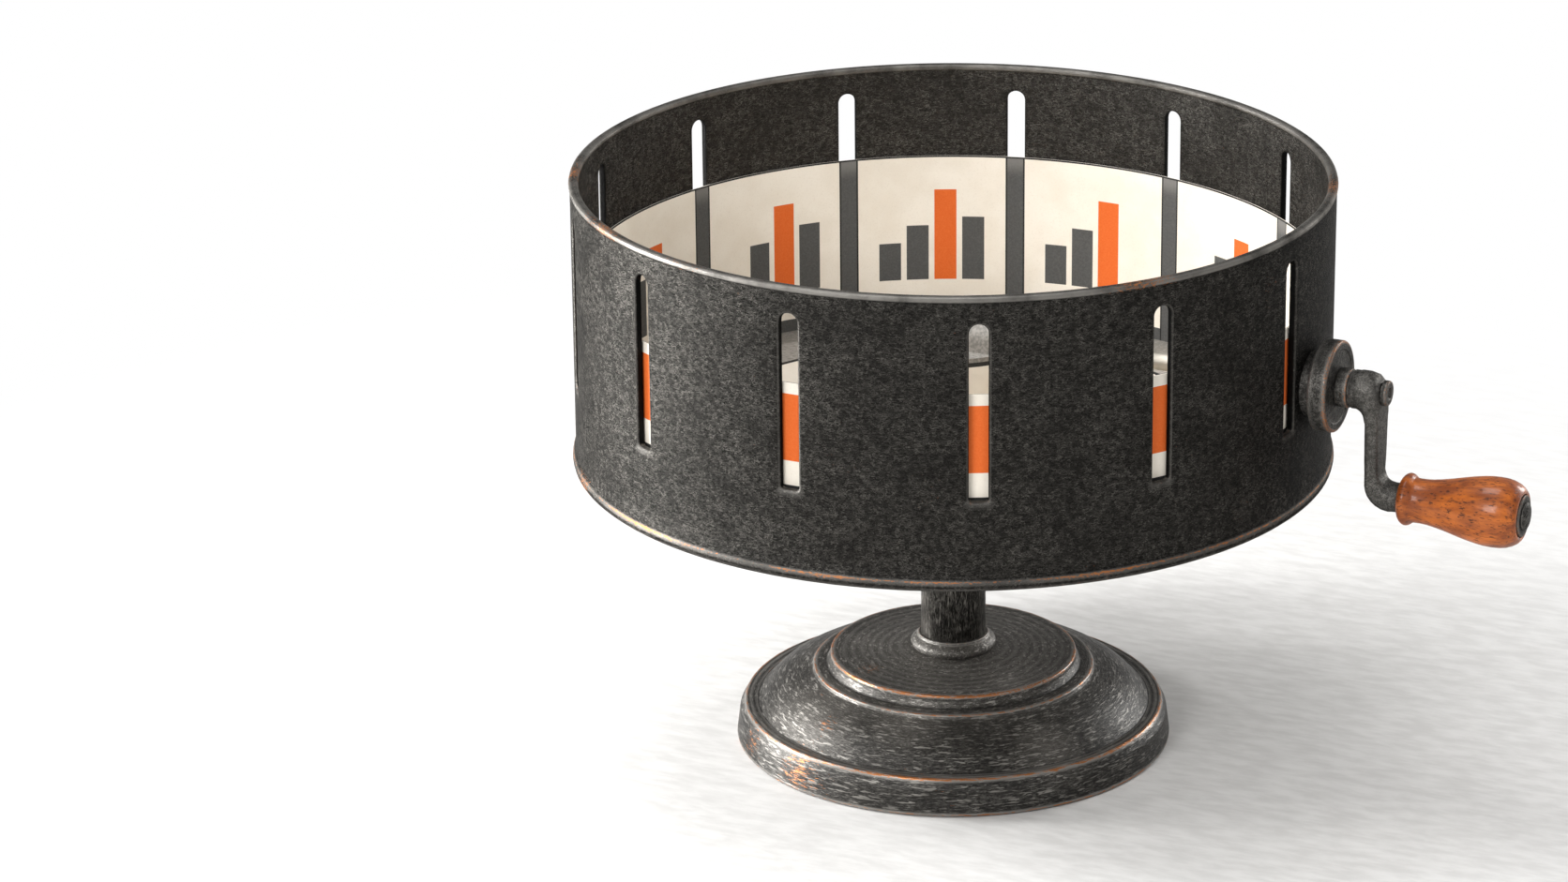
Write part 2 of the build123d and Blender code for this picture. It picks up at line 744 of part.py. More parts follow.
save("crank_bearing", crank_bearing.part)

# Thin nut on the inner end of that bearing.
with BuildPart() as bearing_nut:
    with BuildSketch(crank_plane(bearing_end + bearing_sleeve_end)):
        RegularPolygon(radius=bearing_nut_flats / 2, side_count=6, major_radius=False)
        Circle(bearing_sleeve_r + press_fit, mode=Mode.SUBTRACT)
    extrude(amount=bearing_nut_t)
save("bearing_nut", bearing_nut.part)


# ==================================================================================
# Crank
# ==================================================================================

plate_back = bearing_face + thrust_gap
plate_front = plate_back + plate_t
neck_end = plate_front + neck_l + neck_groove_l
arm_in_x = neck_end + arm_tube_l
arm_out_x = arm_in_x + arm_t
arm_elbow_x = max(arm_out_x + arm_inner_round, arm_in_x + arm_heel_round) + 0.1
grip_tube_end = arm_elbow_x + grip_tube_l

# Shaft from the pinion, through both bearings, into the arm.
shaft_start = gear_r * inner_scale - 1.2
shaft_end = arm_out_x - 0.2
pinion_pin_x = pinion_root[0] + pinion_hub_l / 2
with BuildPart() as crank_shaft:
    with BuildSketch(crank_plane(shaft_start)):
        Circle(shaft_r)
    extrude(amount=shaft_end - shaft_start)
    chamfer(crank_shaft.edges().group_by(Axis.X)[0], 0.5)
    with BuildSketch(crank_plane(shaft_end)):
        Circle(end_screw_stud_r + press_fit)
    extrude(amount=-(end_screw_stud_l + 0.5), mode=Mode.SUBTRACT)
    with BuildSketch(Plane.XY.offset(crank_z - pinion_hub_r)):
        with Locations((pinion_pin_x, 0)):
            Circle(pinion_pin_r + press_fit)
    extrude(amount=2 * pinion_hub_r, mode=Mode.SUBTRACT)
save("crank_shaft", crank_shaft.part)

# Bevel pinion, with a tooth straight down into a gap of the fixed gear.
with BuildPart() as pinion_tooth:
    loft(tooth_faces(pinion_virtual_r, away_from_gear), ruled=True)
tooth_pitch = 360 / pinion_teeth
with BuildPart() as bevel_pinion:
    with BuildSketch(Plane.XZ):
        with BuildLine():
            Polyline(
                (pinion_root_inner[0], crank_z - shaft_r - press_fit),
                pinion_root_inner,
                pinion_root,
                (pinion_root[0], crank_z - pinion_hub_r),
                (pinion_root[0] + pinion_hub_l, crank_z - pinion_hub_r),
                (pinion_root[0] + pinion_hub_l, crank_z - shaft_r - press_fit),
                close=True,
            )
        make_face()
    revolve(axis=AXLE)
    for index in range(pinion_teeth):
        add(pinion_tooth.part.rotate(AXLE, index * tooth_pitch))
    with BuildSketch(crank_plane(shaft_start)):
        Circle(shaft_r + press_fit)
    extrude(amount=face_w, mode=Mode.SUBTRACT)
    with BuildSketch(Plane.XY.offset(crank_z - pinion_hub_r)):
        with Locations((pinion_pin_x, 0)):
            Circle(pinion_pin_r + press_fit)
    extrude(amount=2 * pinion_hub_r, mode=Mode.SUBTRACT)
save("bevel_pinion", bevel_pinion.part)

with BuildPart() as pinion_pin:
    with BuildSketch(Plane.XY.offset(crank_z - pinion_hub_r + 0.2)):
        with Locations((pinion_pin_x, 0)):
            Circle(pinion_pin_r)
    extrude(amount=2 * pinion_hub_r - 0.4)
save("pinion_pin", pinion_pin.part)

# Collar that keeps the shaft from sliding out, with its set screw.
set_collar_x = bracket_end + thrust_gap
with BuildPart() as shaft_collar:
    with BuildSketch(crank_plane(set_collar_x)):
        Circle(set_collar_r)
        Circle(shaft_r + press_fit, mode=Mode.SUBTRACT)
    extrude(amount=set_collar_l)
    with BuildSketch(Plane.XY.offset(crank_z + shaft_r)):
        with Locations((set_collar_x + set_collar_l / 2, 0)):
            Circle(set_screw_r + press_fit)
    extrude(amount=set_collar_r - shaft_r, mode=Mode.SUBTRACT)
save("shaft_collar", shaft_collar.part)

with BuildPart() as collar_screw:
    with BuildSketch(Plane.XY.offset(crank_z + shaft_r)):
        with Locations((set_collar_x + set_collar_l / 2, 0)):
            Circle(set_screw_r)
    extrude(amount=set_collar_r - shaft_r - 0.4)
save("collar_screw", collar_screw.part)

# Round plate that covers the bearing.
with BuildPart() as crank_plate:
    with BuildSketch(crank_plane(plate_back)):
        Circle(plate_r)
    extrude(amount=plate_t)
    chamfer(crank_plate.edges(), 1.0)
    with BuildSketch(crank_plane(plate_back)):
        Circle(shaft_r + press_fit)
    extrude(amount=plate_t, mode=Mode.SUBTRACT)
save("crank_plate", crank_plate.part)

# Grooved neck between the plate and the arm.
with BuildPart() as crank_neck:
    with BuildSketch(crank_plane(plate_front)):
        Circle(neck_r)
    extrude(amount=neck_l)
    chamfer(crank_neck.edges(), 0.6)
    with BuildSketch(crank_plane(plate_front)):
        Circle(neck_groove_r)
    extrude(amount=neck_l + neck_groove_l)
    with BuildSketch(crank_plane(plate_front)):
        Circle(shaft_r + press_fit)
    extrude(amount=neck_l + neck_groove_l, mode=Mode.SUBTRACT)
save("crank_neck", crank_neck.part)


def round_corner(sketch, x, z, radius):
    """Round the corner of a side view that lies nearest to a point."""
    corner = sketch.vertices().sort_by_distance(Vector(x, z, 0))[0]
    fillet(corner, radius)


# Cranked arm: a round hub, a flat bar and a round tube for the grip, as one casting.
arm_top_r = arm_tube_r + arm_shoulder
arm_foot_r = grip_tube_r + arm_shoulder
arm_start = arm_in_x - arm_inner_round - 0.1
with BuildPart() as crank_arm:
    with BuildSketch(Plane.XZ) as arm_side:
        with BuildLine():
            Polyline(
                (arm_start, crank_z + arm_top_r),
                (arm_out_x, crank_z + arm_top_r),
                (arm_out_x, grip_z + arm_foot_r),
                (arm_elbow_x, grip_z + arm_foot_r),
                (arm_elbow_x, grip_z - arm_foot_r),
                (arm_in_x, grip_z - arm_foot_r),
                (arm_in_x, crank_z - arm_top_r),
                (arm_start, crank_z - arm_top_r),
                close=True,
            )
        make_face()
        round_corner(arm_side, arm_out_x, crank_z + arm_top_r, arm_top_round)
        round_corner(arm_side, arm_out_x, grip_z + arm_foot_r, arm_inner_round)
        round_corner(arm_side, arm_in_x, grip_z - arm_foot_r, arm_heel_round)
        round_corner(arm_side, arm_in_x, crank_z - arm_top_r, arm_inner_round)
    extrude(amount=arm_top_r, both=True)
    with BuildSketch(crank_plane(arm_start - 1.0)) as arm_front:
        Circle(arm_top_r)
        with Locations((0, -arm_length)):
            Circle(arm_foot_r)
        make_hull()
    extrude(amount=arm_elbow_x - arm_start + 2.0, mode=Mode.INTERSECT)
    with BuildSketch(crank_plane(arm_in_x - arm_tube_l)):
        Circle(arm_tube_r)
    extrude(amount=arm_tube_l)
    with BuildSketch(crank_plane(arm_elbow_x - 1.0, grip_z)):
        Circle(grip_tube_r)
    extrude(amount=grip_tube_end - arm_elbow_x + 1.0)
    with BuildSketch(crank_plane(arm_in_x - arm_tube_l)):
        Circle(shaft_r + press_fit)
    extrude(amount=arm_tube_l + arm_t, mode=Mode.SUBTRACT)
    with BuildSketch(crank_plane(grip_tube_end - grip_pin_depth, grip_z)):
        Circle(grip_pin_r + press_fit)
    extrude(amount=grip_pin_depth, mode=Mode.SUBTRACT)
save("crank_arm", crank_arm.part)

# Screw in the end of the shaft, with a recess in its head.
with BuildPart() as axle_end_screw:
    with BuildSketch(crank_plane(arm_out_x)):
        Circle(end_screw_r)
    extrude(amount=end_screw_h)
    chamfer(axle_end_screw.edges().group_by(Axis.X)[-1], 0.7)
    with BuildSketch(crank_plane(arm_out_x + end_screw_h)):
        Circle(end_screw_r / 2)
    extrude(amount=-0.7, mode=Mode.SUBTRACT)
    with BuildSketch(crank_plane(arm_out_x)):
        Circle(end_screw_stud_r)
    extrude(amount=-end_screw_stud_l)
save("axle_end_screw", axle_end_screw.part)

# ==================================================================================
# Grip
# ==================================================================================

grip_x = grip_tube_end + thrust_gap
grip_end = grip_x + grip_l
washer_x = grip_end - end_washer_recess + thrust_gap
washer_front = washer_x + end_washer_t

# Turned wooden grip with a bead at the arm and a recess for the end washer.
with BuildPart() as wood_grip:
    with BuildSketch(Plane.XZ):
        with BuildLine():
            bore = grip_z + grip_pin_r + running_fit
            Line((grip_x, bore), (grip_x, grip_z + grip_bead_r - 1.6))
            ThreePointArc(
                (grip_x, grip_z + grip_bead_r - 1.6),
                (grip_x + grip_bead_l * 0.45, grip_z + grip_bead_r),
                (grip_x + grip_bead_l, grip_z + grip_bead_r - 1.2),
            )
            Line(
                (grip_x + grip_bead_l, grip_z + grip_bead_r - 1.2),
                (grip_x + grip_bead_l + 0.3, grip_z + grip_neck_r + 0.1),
            )
            Spline(
                (grip_x + grip_bead_l + 0.3, grip_z + grip_neck_r + 0.1),
                (grip_x + grip_neck_x, grip_z + grip_neck_r),
                (
                    grip_x + (grip_neck_x + grip_belly_x) / 2,
                    grip_z + (grip_neck_r + grip_belly_r) / 2 + 0.4,
                ),
                (grip_x + grip_belly_x, grip_z + grip_belly_r),
                (grip_x + grip_end_x, grip_z + grip_end_r),
            )
            ThreePointArc(
                (grip_x + grip_end_x, grip_z + grip_end_r),
                (grip_x + grip_end_x + 2.9, grip_z + (grip_end_r + grip_face_r) / 2 + 0.5),
                (grip_end, grip_z + grip_face_r),
            )
            Polyline(
                (grip_end, grip_z + grip_face_r),
                (grip_end, grip_z + end_washer_r + running_fit),
                (grip_end - end_washer_recess, grip_z + end_washer_r + running_fit),
                (grip_end - end_washer_recess, bore),
                (grip_x, bore),
            )
        make_face()
    revolve(axis=GRIP_AXIS)
save("wood_grip", wood_grip.part)

# Pin on which the grip spins, seated in the arm.
with BuildPart() as grip_pin:
    with BuildSketch(crank_plane(grip_tube_end - grip_pin_depth, grip_z)):
        Circle(grip_pin_r)
    extrude(amount=washer_x - grip_tube_end + grip_pin_depth)
save("grip_pin", grip_pin.part)

with BuildPart() as end_washer:
    with BuildSketch(crank_plane(washer_x, grip_z)):
        Circle(end_washer_r - thrust_gap)
    extrude(amount=end_washer_t)
    chamfer(end_washer.edges().group_by(Axis.X)[-1], 0.5)
save("end_washer", end_washer.part)

with BuildPart() as end_cap:
    with BuildSketch(crank_plane(washer_front, grip_z)):
        Circle(end_cap_r)
    extrude(amount=end_cap_h)
    fillet(end_cap.edges().group_by(Axis.X)[-1], 1.3)
save("end_cap", end_cap.part)

# ==================================================================================
# Picture strip
# ==================================================================================

# A band of card inside the wall, notched to drop over the crank's bearing.
strip_outer_r = inner_r - rim_proud - strip_gap
strip_notch_r = bearing_nut_corner + strip_notch_gap
with BuildPart() as picture_strip:
    with BuildSketch(Plane.XY.offset(floor_top)):
        Circle(strip_outer_r)
        Circle(strip_outer_r - strip_t, mode=Mode.SUBTRACT)
    extrude(amount=strip_h)
    with BuildSketch(crank_plane(inner_r - 10 * strip_t)):
        Circle(strip_notch_r)
        with Locations((0, -crank_h / 2)):
            Rectangle(2 * strip_notch_r, crank_h)
    extrude(amount=12 * strip_t, mode=Mode.SUBTRACT)
save("picture_strip", picture_strip.part)
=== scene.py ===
"""Zoetrope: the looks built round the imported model.

A stepped iron base and column, a slotted drum with a printed picture band inside it, and a
crank with a turned wooden grip.  Sizes are in millimetres in the classes below and become
metres when a mesh is made.
"""
import logging
import math
from dataclasses import dataclass
from enum import Enum
from functools import cache
from typing import NamedTuple, Optional, Sequence, Union

import bmesh
import bpy
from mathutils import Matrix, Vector


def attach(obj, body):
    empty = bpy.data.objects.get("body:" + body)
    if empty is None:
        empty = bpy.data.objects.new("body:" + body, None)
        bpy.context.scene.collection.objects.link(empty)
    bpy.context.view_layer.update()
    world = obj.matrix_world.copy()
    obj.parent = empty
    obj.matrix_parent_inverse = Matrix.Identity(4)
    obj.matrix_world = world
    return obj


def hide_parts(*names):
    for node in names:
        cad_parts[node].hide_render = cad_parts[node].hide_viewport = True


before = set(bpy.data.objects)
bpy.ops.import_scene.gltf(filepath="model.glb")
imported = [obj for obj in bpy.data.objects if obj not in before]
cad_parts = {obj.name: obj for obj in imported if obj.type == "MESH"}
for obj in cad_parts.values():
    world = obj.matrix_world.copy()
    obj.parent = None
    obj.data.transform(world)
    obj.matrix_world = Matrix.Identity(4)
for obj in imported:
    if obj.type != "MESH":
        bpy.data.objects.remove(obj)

LOG = logging.getLogger("zoetrope")
MM = 0.001
TURN = 2 * math.pi
SHARP = 34.0  # angle in degrees over which an edge stays sharp
WELD = 0.002 * MM  # points closer than this are joined in a piece
SEAM = 0.004 * MM  # points closer than this are joined between repeats

Node = bpy.types.Node
Tree = bpy.types.NodeTree
Object = bpy.types.Object
Socket = bpy.types.NodeSocket
Value = Union[float, Socket]
Colour = tuple[float, float, float]
Point = tuple[float, float, float]
Ball = tuple[float, float, float, float]

INK: Colour = (0.012, 0.012, 0.011)


# --- Shader building ---


@dataclass
class Weave:
    """Short ways to add and join the nodes of one tree.

    Args:
        tree: the node tree that is being built.
    """

    tree: Tree

    def add(self, kind: str, *values: object, **props: object) -> Node:
        """Add a node, set its properties and feed its inputs.

        Args:
            kind: the node's type name.
            values: what its inputs get in order, None to leave one alone.
            props: properties to set on it.

        Returns:
            The new node.
        """
        node = self.tree.nodes.new(kind)
        for name, value in props.items():
            setattr(node, name, value)
        for socket, value in zip(node.inputs, values):
            if value is not None:
                self.feed(socket, value)
        return node

    def feed(self, socket: Socket, value: object) -> None:
        """Link a socket to an input, or set the input's value.

        Args:
            socket: the input.
            value: an output socket, a number or a colour.
        """
        if isinstance(value, bpy.types.NodeSocket):
            self.tree.links.new(value, socket)
        elif isinstance(value, tuple) and len(value) == 3 and socket.type == "RGBA":
            socket.default_value = (*value, 1.0)
        else:
            socket.default_value = value

    def put(self, node: Node, values: dict[str, object]) -> Node:
        """Feed a node's inputs by name.

        Args:
            node: the node.
            values: input name to value.

        Returns:
            The same node.
        """
        for label, value in values.items():
            self.feed(node.inputs[label], value)
        return node

    def math(self, operation: str, *values: Value, clamp: bool = False) -> Socket:
        """Add a Math node.

        Args:
            operation: the operation's name.
            values: its inputs in order.
            clamp: whether the result is held between 0 and 1.

        Returns:
            The result.
        """
        return self.add("ShaderNodeMath", *values, operation=operation, use_clamp=clamp).outputs[0]

    def times(self, first: Value, second: Value, clamp: bool = False) -> Socket:
        """Product of two values, as Weave.math."""
        return self.math("MULTIPLY", first, second, clamp=clamp)

    def plus(self, first: Value, second: Value, clamp: bool = False) -> Socket:
        """Sum of two values, as Weave.math."""
        return self.math("ADD", first, second, clamp=clamp)

    def minus(self, first: Value, second: Value) -> Socket:
        """Difference of two values, as Weave.math."""
        return self.math("SUBTRACT", first, second)

    def most(self, first: Value, second: Value) -> Socket:
        """Larger of two values, as Weave.math."""
        return self.math("MAXIMUM", first, second)

    def away(self, value: Value, middle: float) -> Socket:
        """Distance of a value from another, as Weave.math."""
        return self.math("ABSOLUTE", self.minus(value, middle))

    def near(self, value: Value, middle: float, half: float) -> Socket:
        """Mask, 1 where a value is less than half away from the middle."""
        return self.math("LESS_THAN", self.away(value, middle), half)

    def between(self, value: Value, low: Value, high: Value) -> Socket:
        """Mask, 1 where a value is over low and under high."""
        return self.times(self.math("GREATER_THAN", value, low), self.math("LESS_THAN", value, high))

    def ramp(self, value: Value, low: float, high: float, out: tuple[float, float] = (0.0, 1.0)) -> Socket:
        """Map a range to another with smooth ends.

        Args:
            value: the value to map.
            low: start of the range.
            high: end of the range.
            out: the two results.

        Returns:
            The mapped value.
        """
        values = (value, low, high, *out)
        return self.add("ShaderNodeMapRange", *values, interpolation_type="SMOOTHSTEP").outputs[0]

    def mix(self, factor: Value, first: Union[Colour, Socket], second: Union[Colour, Socket]) -> Socket:
        """Mix two colours.

        Args:
            factor: share of the second.
            first: first colour.
            second: second colour.

        Returns:
            The mixed colour.
        """
        node = self.add("ShaderNodeMix", factor, data_type="RGBA")
        self.feed(node.inputs[6], first)
        self.feed(node.inputs[7], second)
        return node.outputs[2]

    def noise(self, where: Socket, scale: float, detail: float = 3.0, rough: float = 0.5,
              fourth: Optional[Value] = None, bend: float = 0.0) -> Socket:
        """Add a noise texture.

        Args:
            where: the coordinates.
            scale: cells per unit.
            detail: octaves.
            rough: strength of the fine octaves.
            fourth: the fourth coordinate, or None for plain noise.
            bend: distortion.

        Returns:
            The noise value.
        """
        node = self.add("ShaderNodeTexNoise", noise_dimensions="3D" if fourth is None else "4D")
        self.put(node, {"Vector": where, "Scale": scale, "Detail": detail, "Roughness": rough, "Distortion": bend})
        if fourth is not None:
            self.feed(node.inputs["W"], fourth)
        return node.outputs["Fac"]

    def vector(self, operation: str, *values: object) -> Node:
        """Add a Vector Math node, as Weave.math, and return the node."""
        return self.add("ShaderNodeVectorMath", *values, operation=operation)

    def stretched(self, where: Socket, scale: tuple[float, float, float]) -> Socket:
        """Coordinates multiplied by a factor along each axis."""
        return self.put(self.add("ShaderNodeMapping"), {"Vector": where, "Scale": scale}).outputs["Vector"]

    def parts(self, where: Socket) -> Sequence[Socket]:
        """The three parts of a vector."""
        return self.add("ShaderNodeSeparateXYZ", where).outputs

    def from_axis(self, where: Socket) -> Socket:
        """Distance of coordinates from the upright axis."""
        return self.vector("LENGTH", self.stretched(where, (1.0, 1.0, 0.0))).outputs["Value"]


class Groups:
    """Shader node groups that more than one finish uses, each built once."""

    @staticmethod
    def start(name: str, inputs: dict[str, Optional[float]],
              outputs: Sequence[str]) -> tuple[Weave, Sequence[Socket], Node]:
        """Start a group with named sockets.

        Args:
            name: the group's name.
            inputs: socket name to its value, or to None for a vector.
            outputs: names of the values that it gives.

        Returns:
            The tree's weave, its input sockets, and its output node.
        """
        tree = bpy.data.node_groups.new(name, "ShaderNodeTree")
        for label, value in inputs.items():
            kind = "NodeSocketVector" if value is None else "NodeSocketFloat"
            socket = tree.interface.new_socket(label, in_out="INPUT", socket_type=kind)
            if value is not None:
                socket.default_value = value
        for label in outputs:
            tree.interface.new_socket(label, in_out="OUTPUT", socket_type="NodeSocketFloat")
        w = Weave(tree)
        return w, w.add("NodeGroupInput").outputs, w.add("NodeGroupOutput")

    @classmethod
    @cache
    def marks(cls) -> Tree:
        """Short wriggling light marks on a dark ground, thinner and thicker by patches.

        Returns:
            The group, with outputs Marks, Patch and Height.
        """
        inputs = {"Place": None, "Fourth": 0.0, "Where": None, "Width": 0.06, "Stroke": 0.0}
        w, given, sink = cls.start("graphite marks", inputs, ("Marks", "Patch", "Height"))
        broad = w.noise(given["Place"], 1.0, 2.0, 0.55, given["Fourth"], 0.5)
        fine = w.noise(given["Place"], 2.3, 3.0, 0.6, given["Fourth"], 0.3)
        thin = w.times(given["Width"], 0.25)
        first = w.ramp(w.away(broad, 0.5), given["Width"], thin)
        second = w.ramp(w.away(fine, 0.53), given["Width"], thin)
        patch = w.noise(given["Where"], 55.0, 3.0, 0.6)
        breaks = w.ramp(w.noise(given["Where"], 420.0, 2.0, 0.5), 0.42, 0.54)
        wriggle = w.plus(w.times(first, breaks), w.times(second, 0.5), clamp=True)
        stroke = w.plus(w.ramp(broad, 0.56, 0.66), w.times(w.ramp(fine, 0.55, 0.66), 0.6), clamp=True)
        rest = w.minus(1.0, given["Stroke"])
        both = w.plus(w.times(wriggle, rest), w.times(stroke, given["Stroke"]), clamp=True)
        shown = w.times(both, w.ramp(patch, 0.25, 0.7, (0.45, 1.0)))
        w.put(sink, {"Marks": shown, "Patch": patch, "Height": w.plus(broad, w.times(fine, 0.6))})
        return w.tree

    @classmethod
    @cache
    def edge_wear_and_painted_light(cls) -> Tree:
        """Broken wear along the edges that a mesh marks, and in the places where it is rubbed; bare metal on those
        edges also paints a light edge highlight, and a negative mark paints shade in a crease.

        Returns:
            The group, with outputs Wear, Polish and Crease, where Crease is the painted shade.
        """
        inputs = {"Place": None, "Fourth": 0.0, "Where": None, "Edge": 0.0, "Rub": 0.0, "Amount": 0.5}
        w, given, sink = cls.start("edge wear and painted light", inputs, ("Wear", "PolishAndSheen", "CreaseShade"))
        broken = w.noise(given["Place"], 1.7, 3.0, 0.65, given["Fourth"], 0.4)
        wide = w.noise(given["Where"], 34.0, 2.0, 0.5)
        edge = w.most(given["Edge"], 0.0)
        level = w.plus(w.times(broken, 1.6), w.times(wide, 0.7))
        want = w.most(w.times(w.times(edge, edge), given["Amount"]), w.times(given["Rub"], 0.42))
        # Polish doubles as a painted edge highlight, and Crease is painted shade from negative marks.
        w.put(sink, {
            "Wear": w.ramp(w.plus(level, want), 1.56, 1.68),
            "PolishAndSheen": w.times(edge, w.ramp(wide, 0.25, 0.6, (0.55, 1.0)), clamp=True),
            "CreaseShade": w.times(given["Edge"], -1.0, clamp=True),
        })
        return w.tree


def round_places(w: Weave, where: Socket, around: float, fine: float, rise: float) -> tuple[Socket, Socket]:
    """Coordinates that follow a turned surface without a seam, for four-dimensional noise.

    Args:
        w: the tree's weave.
        where: coordinates with the axis on Z.
        around: cells in a radian.
        fine: cells in a metre across the axis.
        rise: cells in a metre along the axis.

    Returns:
        The vector and the fourth coordinate.
    """
    x, y, z = w.parts(where)
    flat = w.add("ShaderNodeCombineXYZ", x, y).outputs[0]
    size = w.vector("LENGTH", flat).outputs["Value"]
    ring = w.vector("SCALE", w.vector("NORMALIZE", flat).outputs[0])
    ring.inputs["Scale"].default_value = around
    out = w.add("ShaderNodeCombineXYZ", None, None, w.times(size, fine)).outputs[0]
    return w.vector("ADD", ring.outputs[0], out).outputs[0], w.times(z, rise)


@dataclass(frozen=True)
class Finish:
    """A finish that a material is made from.

    Args:
        name: the material's name.
    """

    name: str

    def weave(self, w: Weave, shader: Node, where: Socket) -> None:
        """Wire the finish into a Principled shader.

        Args:
            w: the tree's weave.
            shader: the Principled shader.
            where: object coordinates.
        """
        raise NotImplementedError

    def material(self) -> bpy.types.Material:
        """The material, made on first use.

        Returns:
            The Blender material.
        """
        made = bpy.data.materials.get(self.name)
        if made:
            return made
        made = bpy.data.materials.new(self.name)
        made.use_nodes = True
        made.node_tree.nodes.clear()
        w = Weave(made.node_tree)
        shader = w.add("ShaderNodeBsdfPrincipled")
        w.add("ShaderNodeOutputMaterial", shader.outputs[0])
        self.weave(w, shader, w.add("ShaderNodeTexCoord").outputs["Object"])
        return made

    @staticmethod
    def bump(w: Weave, shader: Node, height: Socket, strength: float, depth: float) -> None:
        """Feed a height to the shader's normal.

        Args:
            w: the tree's weave.
            shader: the Principled shader.
            height: the height, 0 to 1.
            strength: strength of the bump.
            depth: its depth in metres.
        """
        node = w.put(w.add("ShaderNodeBump"), {"Height": height, "Strength": strength, "Distance": depth})
        w.feed(shader.inputs["Normal"], node.outputs["Normal"])


@dataclass(frozen=True)
class BlackIron(Finish):
    """Blackened iron or sheet with light graphite marks, copper-brown wear, painted highlights and painted shade
    in creases.

    Heights, distances and places are in millimetres.

    Args:
        dark, light: colours of the ground and of the marks.
        lit_dark, lit_light: the same where painted highlights or painted light inside the drum lighten the iron.
        copper, bare, hollow: colours of the wear, of polished edges, which also stand for a painted edge
            highlight, and of the painted shade in creases.
        roughness, metal, gloss: roughness, metallic share and plain reflection of the ground.
        grazing: strength of the metal's reflection at a low angle.
        around: marks in a radian, or 0 where the marks don't follow a turned surface.
        fine, rise: marks in a metre across and along the axis; a rise of 0 is as many as across.
        width: width of a wriggling mark, as a share of the noise.
        stroke: share of straight strokes among the marks.
        wear, polish: amount of wear on the marked edges, and share of bare metal on them, which also paints a
            light edge highlight.
        bright: heights between which the metal is lighter by patches as a painted sheen.
        fade: height over which that sets in.
        rubs, shines: places that are rubbed, and places lighter as painted highlights, each with a radius.
        plain: middle and half of a band of heights that isn't rubbed, where bright is set.
        lining, painted_inside_lift: distance from the axis under which the iron is lighter as painted light inside
            the drum, and by how much.
    """

    dark: Colour = (0.010, 0.0096, 0.0088)
    light: Colour = (0.115, 0.108, 0.098)
    lit_dark: Colour = (0.075, 0.07, 0.063)
    lit_light: Colour = (0.45, 0.425, 0.39)
    copper: Colour = (0.34, 0.135, 0.052)
    bare: Colour = (0.27, 0.257, 0.237)
    crease_shade_colour: Colour = (0.006, 0.006, 0.006)
    roughness: float = 0.46
    metal: float = 0.75
    gloss: float = 0.15
    grazing: float = 0.2
    around: float = 0.0
    fine: float = 650.0
    rise: float = 0.0
    width: float = 0.05
    stroke: float = 0.0
    wear: float = 0.4
    polish_and_sheen: float = 0.45
    bright: Optional[tuple[float, float]] = None
    fade: float = 0.6
    rubs: tuple[Ball, ...] = ()
    painted_highlights: tuple[Ball, ...] = ()
    plain: tuple[float, float] = (180.7, 54.0)
    painted_inside_radius: float = 0.0
    painted_inside_lift: float = 0.22

    @staticmethod
    def around_places(w: Weave, where: Socket, places: tuple[Ball, ...]) -> Value:
        """Mask of some places.

        Args:
            w: the tree's weave.
            where: object coordinates.
            places: the places, each with a radius.

        Returns:
            The mask, 1 at the middle of each.
        """
        total: Value = 0.0
        for x, y, z, radius in places:
            gap = w.vector("DISTANCE", where, (x * MM, y * MM, z * MM)).outputs["Value"]
            total = w.most(total, w.ramp(gap, radius * MM, 0.0))
        return total

    def weave(self, w: Weave, shader: Node, where: Socket) -> None:
        """Wire the finish in, as Finish.weave."""
        if self.around:
            place, fourth = round_places(w, where, self.around, self.fine, self.rise or self.fine)
        else:
            place, fourth = w.stretched(where, (self.fine,) * 3), 0.0
        rub = self.around_places(w, where, self.rubs)
        high = w.parts(where)[2] if self.bright else None
        if self.bright:
            plain = w.near(high, self.plain[0] * MM, self.plain[1] * MM)
            rub = w.times(rub, w.minus(1.0, plain))
        edge = w.add("ShaderNodeAttribute", attribute_name="wear").outputs["Fac"]
        shared = {"Place": place, "Fourth": fourth, "Where": where}
        marks = w.put(w.add("ShaderNodeGroup", node_tree=Groups.marks()),
                      {**shared, "Width": self.width, "Stroke": self.stroke}).outputs
        wear_and_painted_light = w.put(w.add("ShaderNodeGroup", node_tree=Groups.edge_wear_and_painted_light()),
                     {**shared, "Edge": edge, "Rub": rub, "Amount": self.wear}).outputs
        # Painted light: the highlight places, or the inside of the drum, take the lit colours.
        lighter = self.around_places(w, where, self.painted_highlights)
        if self.painted_inside_radius:
            lighter = w.times(w.math("LESS_THAN", w.from_axis(where), self.painted_inside_radius * MM), self.painted_inside_lift)
        shade = w.mix(lighter, self.dark, self.lit_dark)
        ground = w.mix(marks["Marks"], shade, w.mix(lighter, self.light, self.lit_light))
        # Bare metal on the marked edges also stands for a painted edge highlight.
        polish_and_sheen = w.times(wear_and_painted_light["PolishAndSheen"], self.polish_and_sheen)
        # Painted sheen: the metal between the bright heights is lighter by patches.
        if self.bright:
            low, top = self.bright
            over = w.ramp(high, low * MM, (low + self.fade) * MM)
            under = w.ramp(high, top * MM, (top - self.fade) * MM)
            polish_and_sheen = w.most(polish_and_sheen, w.times(w.times(over, under), w.ramp(marks["Patch"], 0.3, 0.6, (0.25, 0.7))))
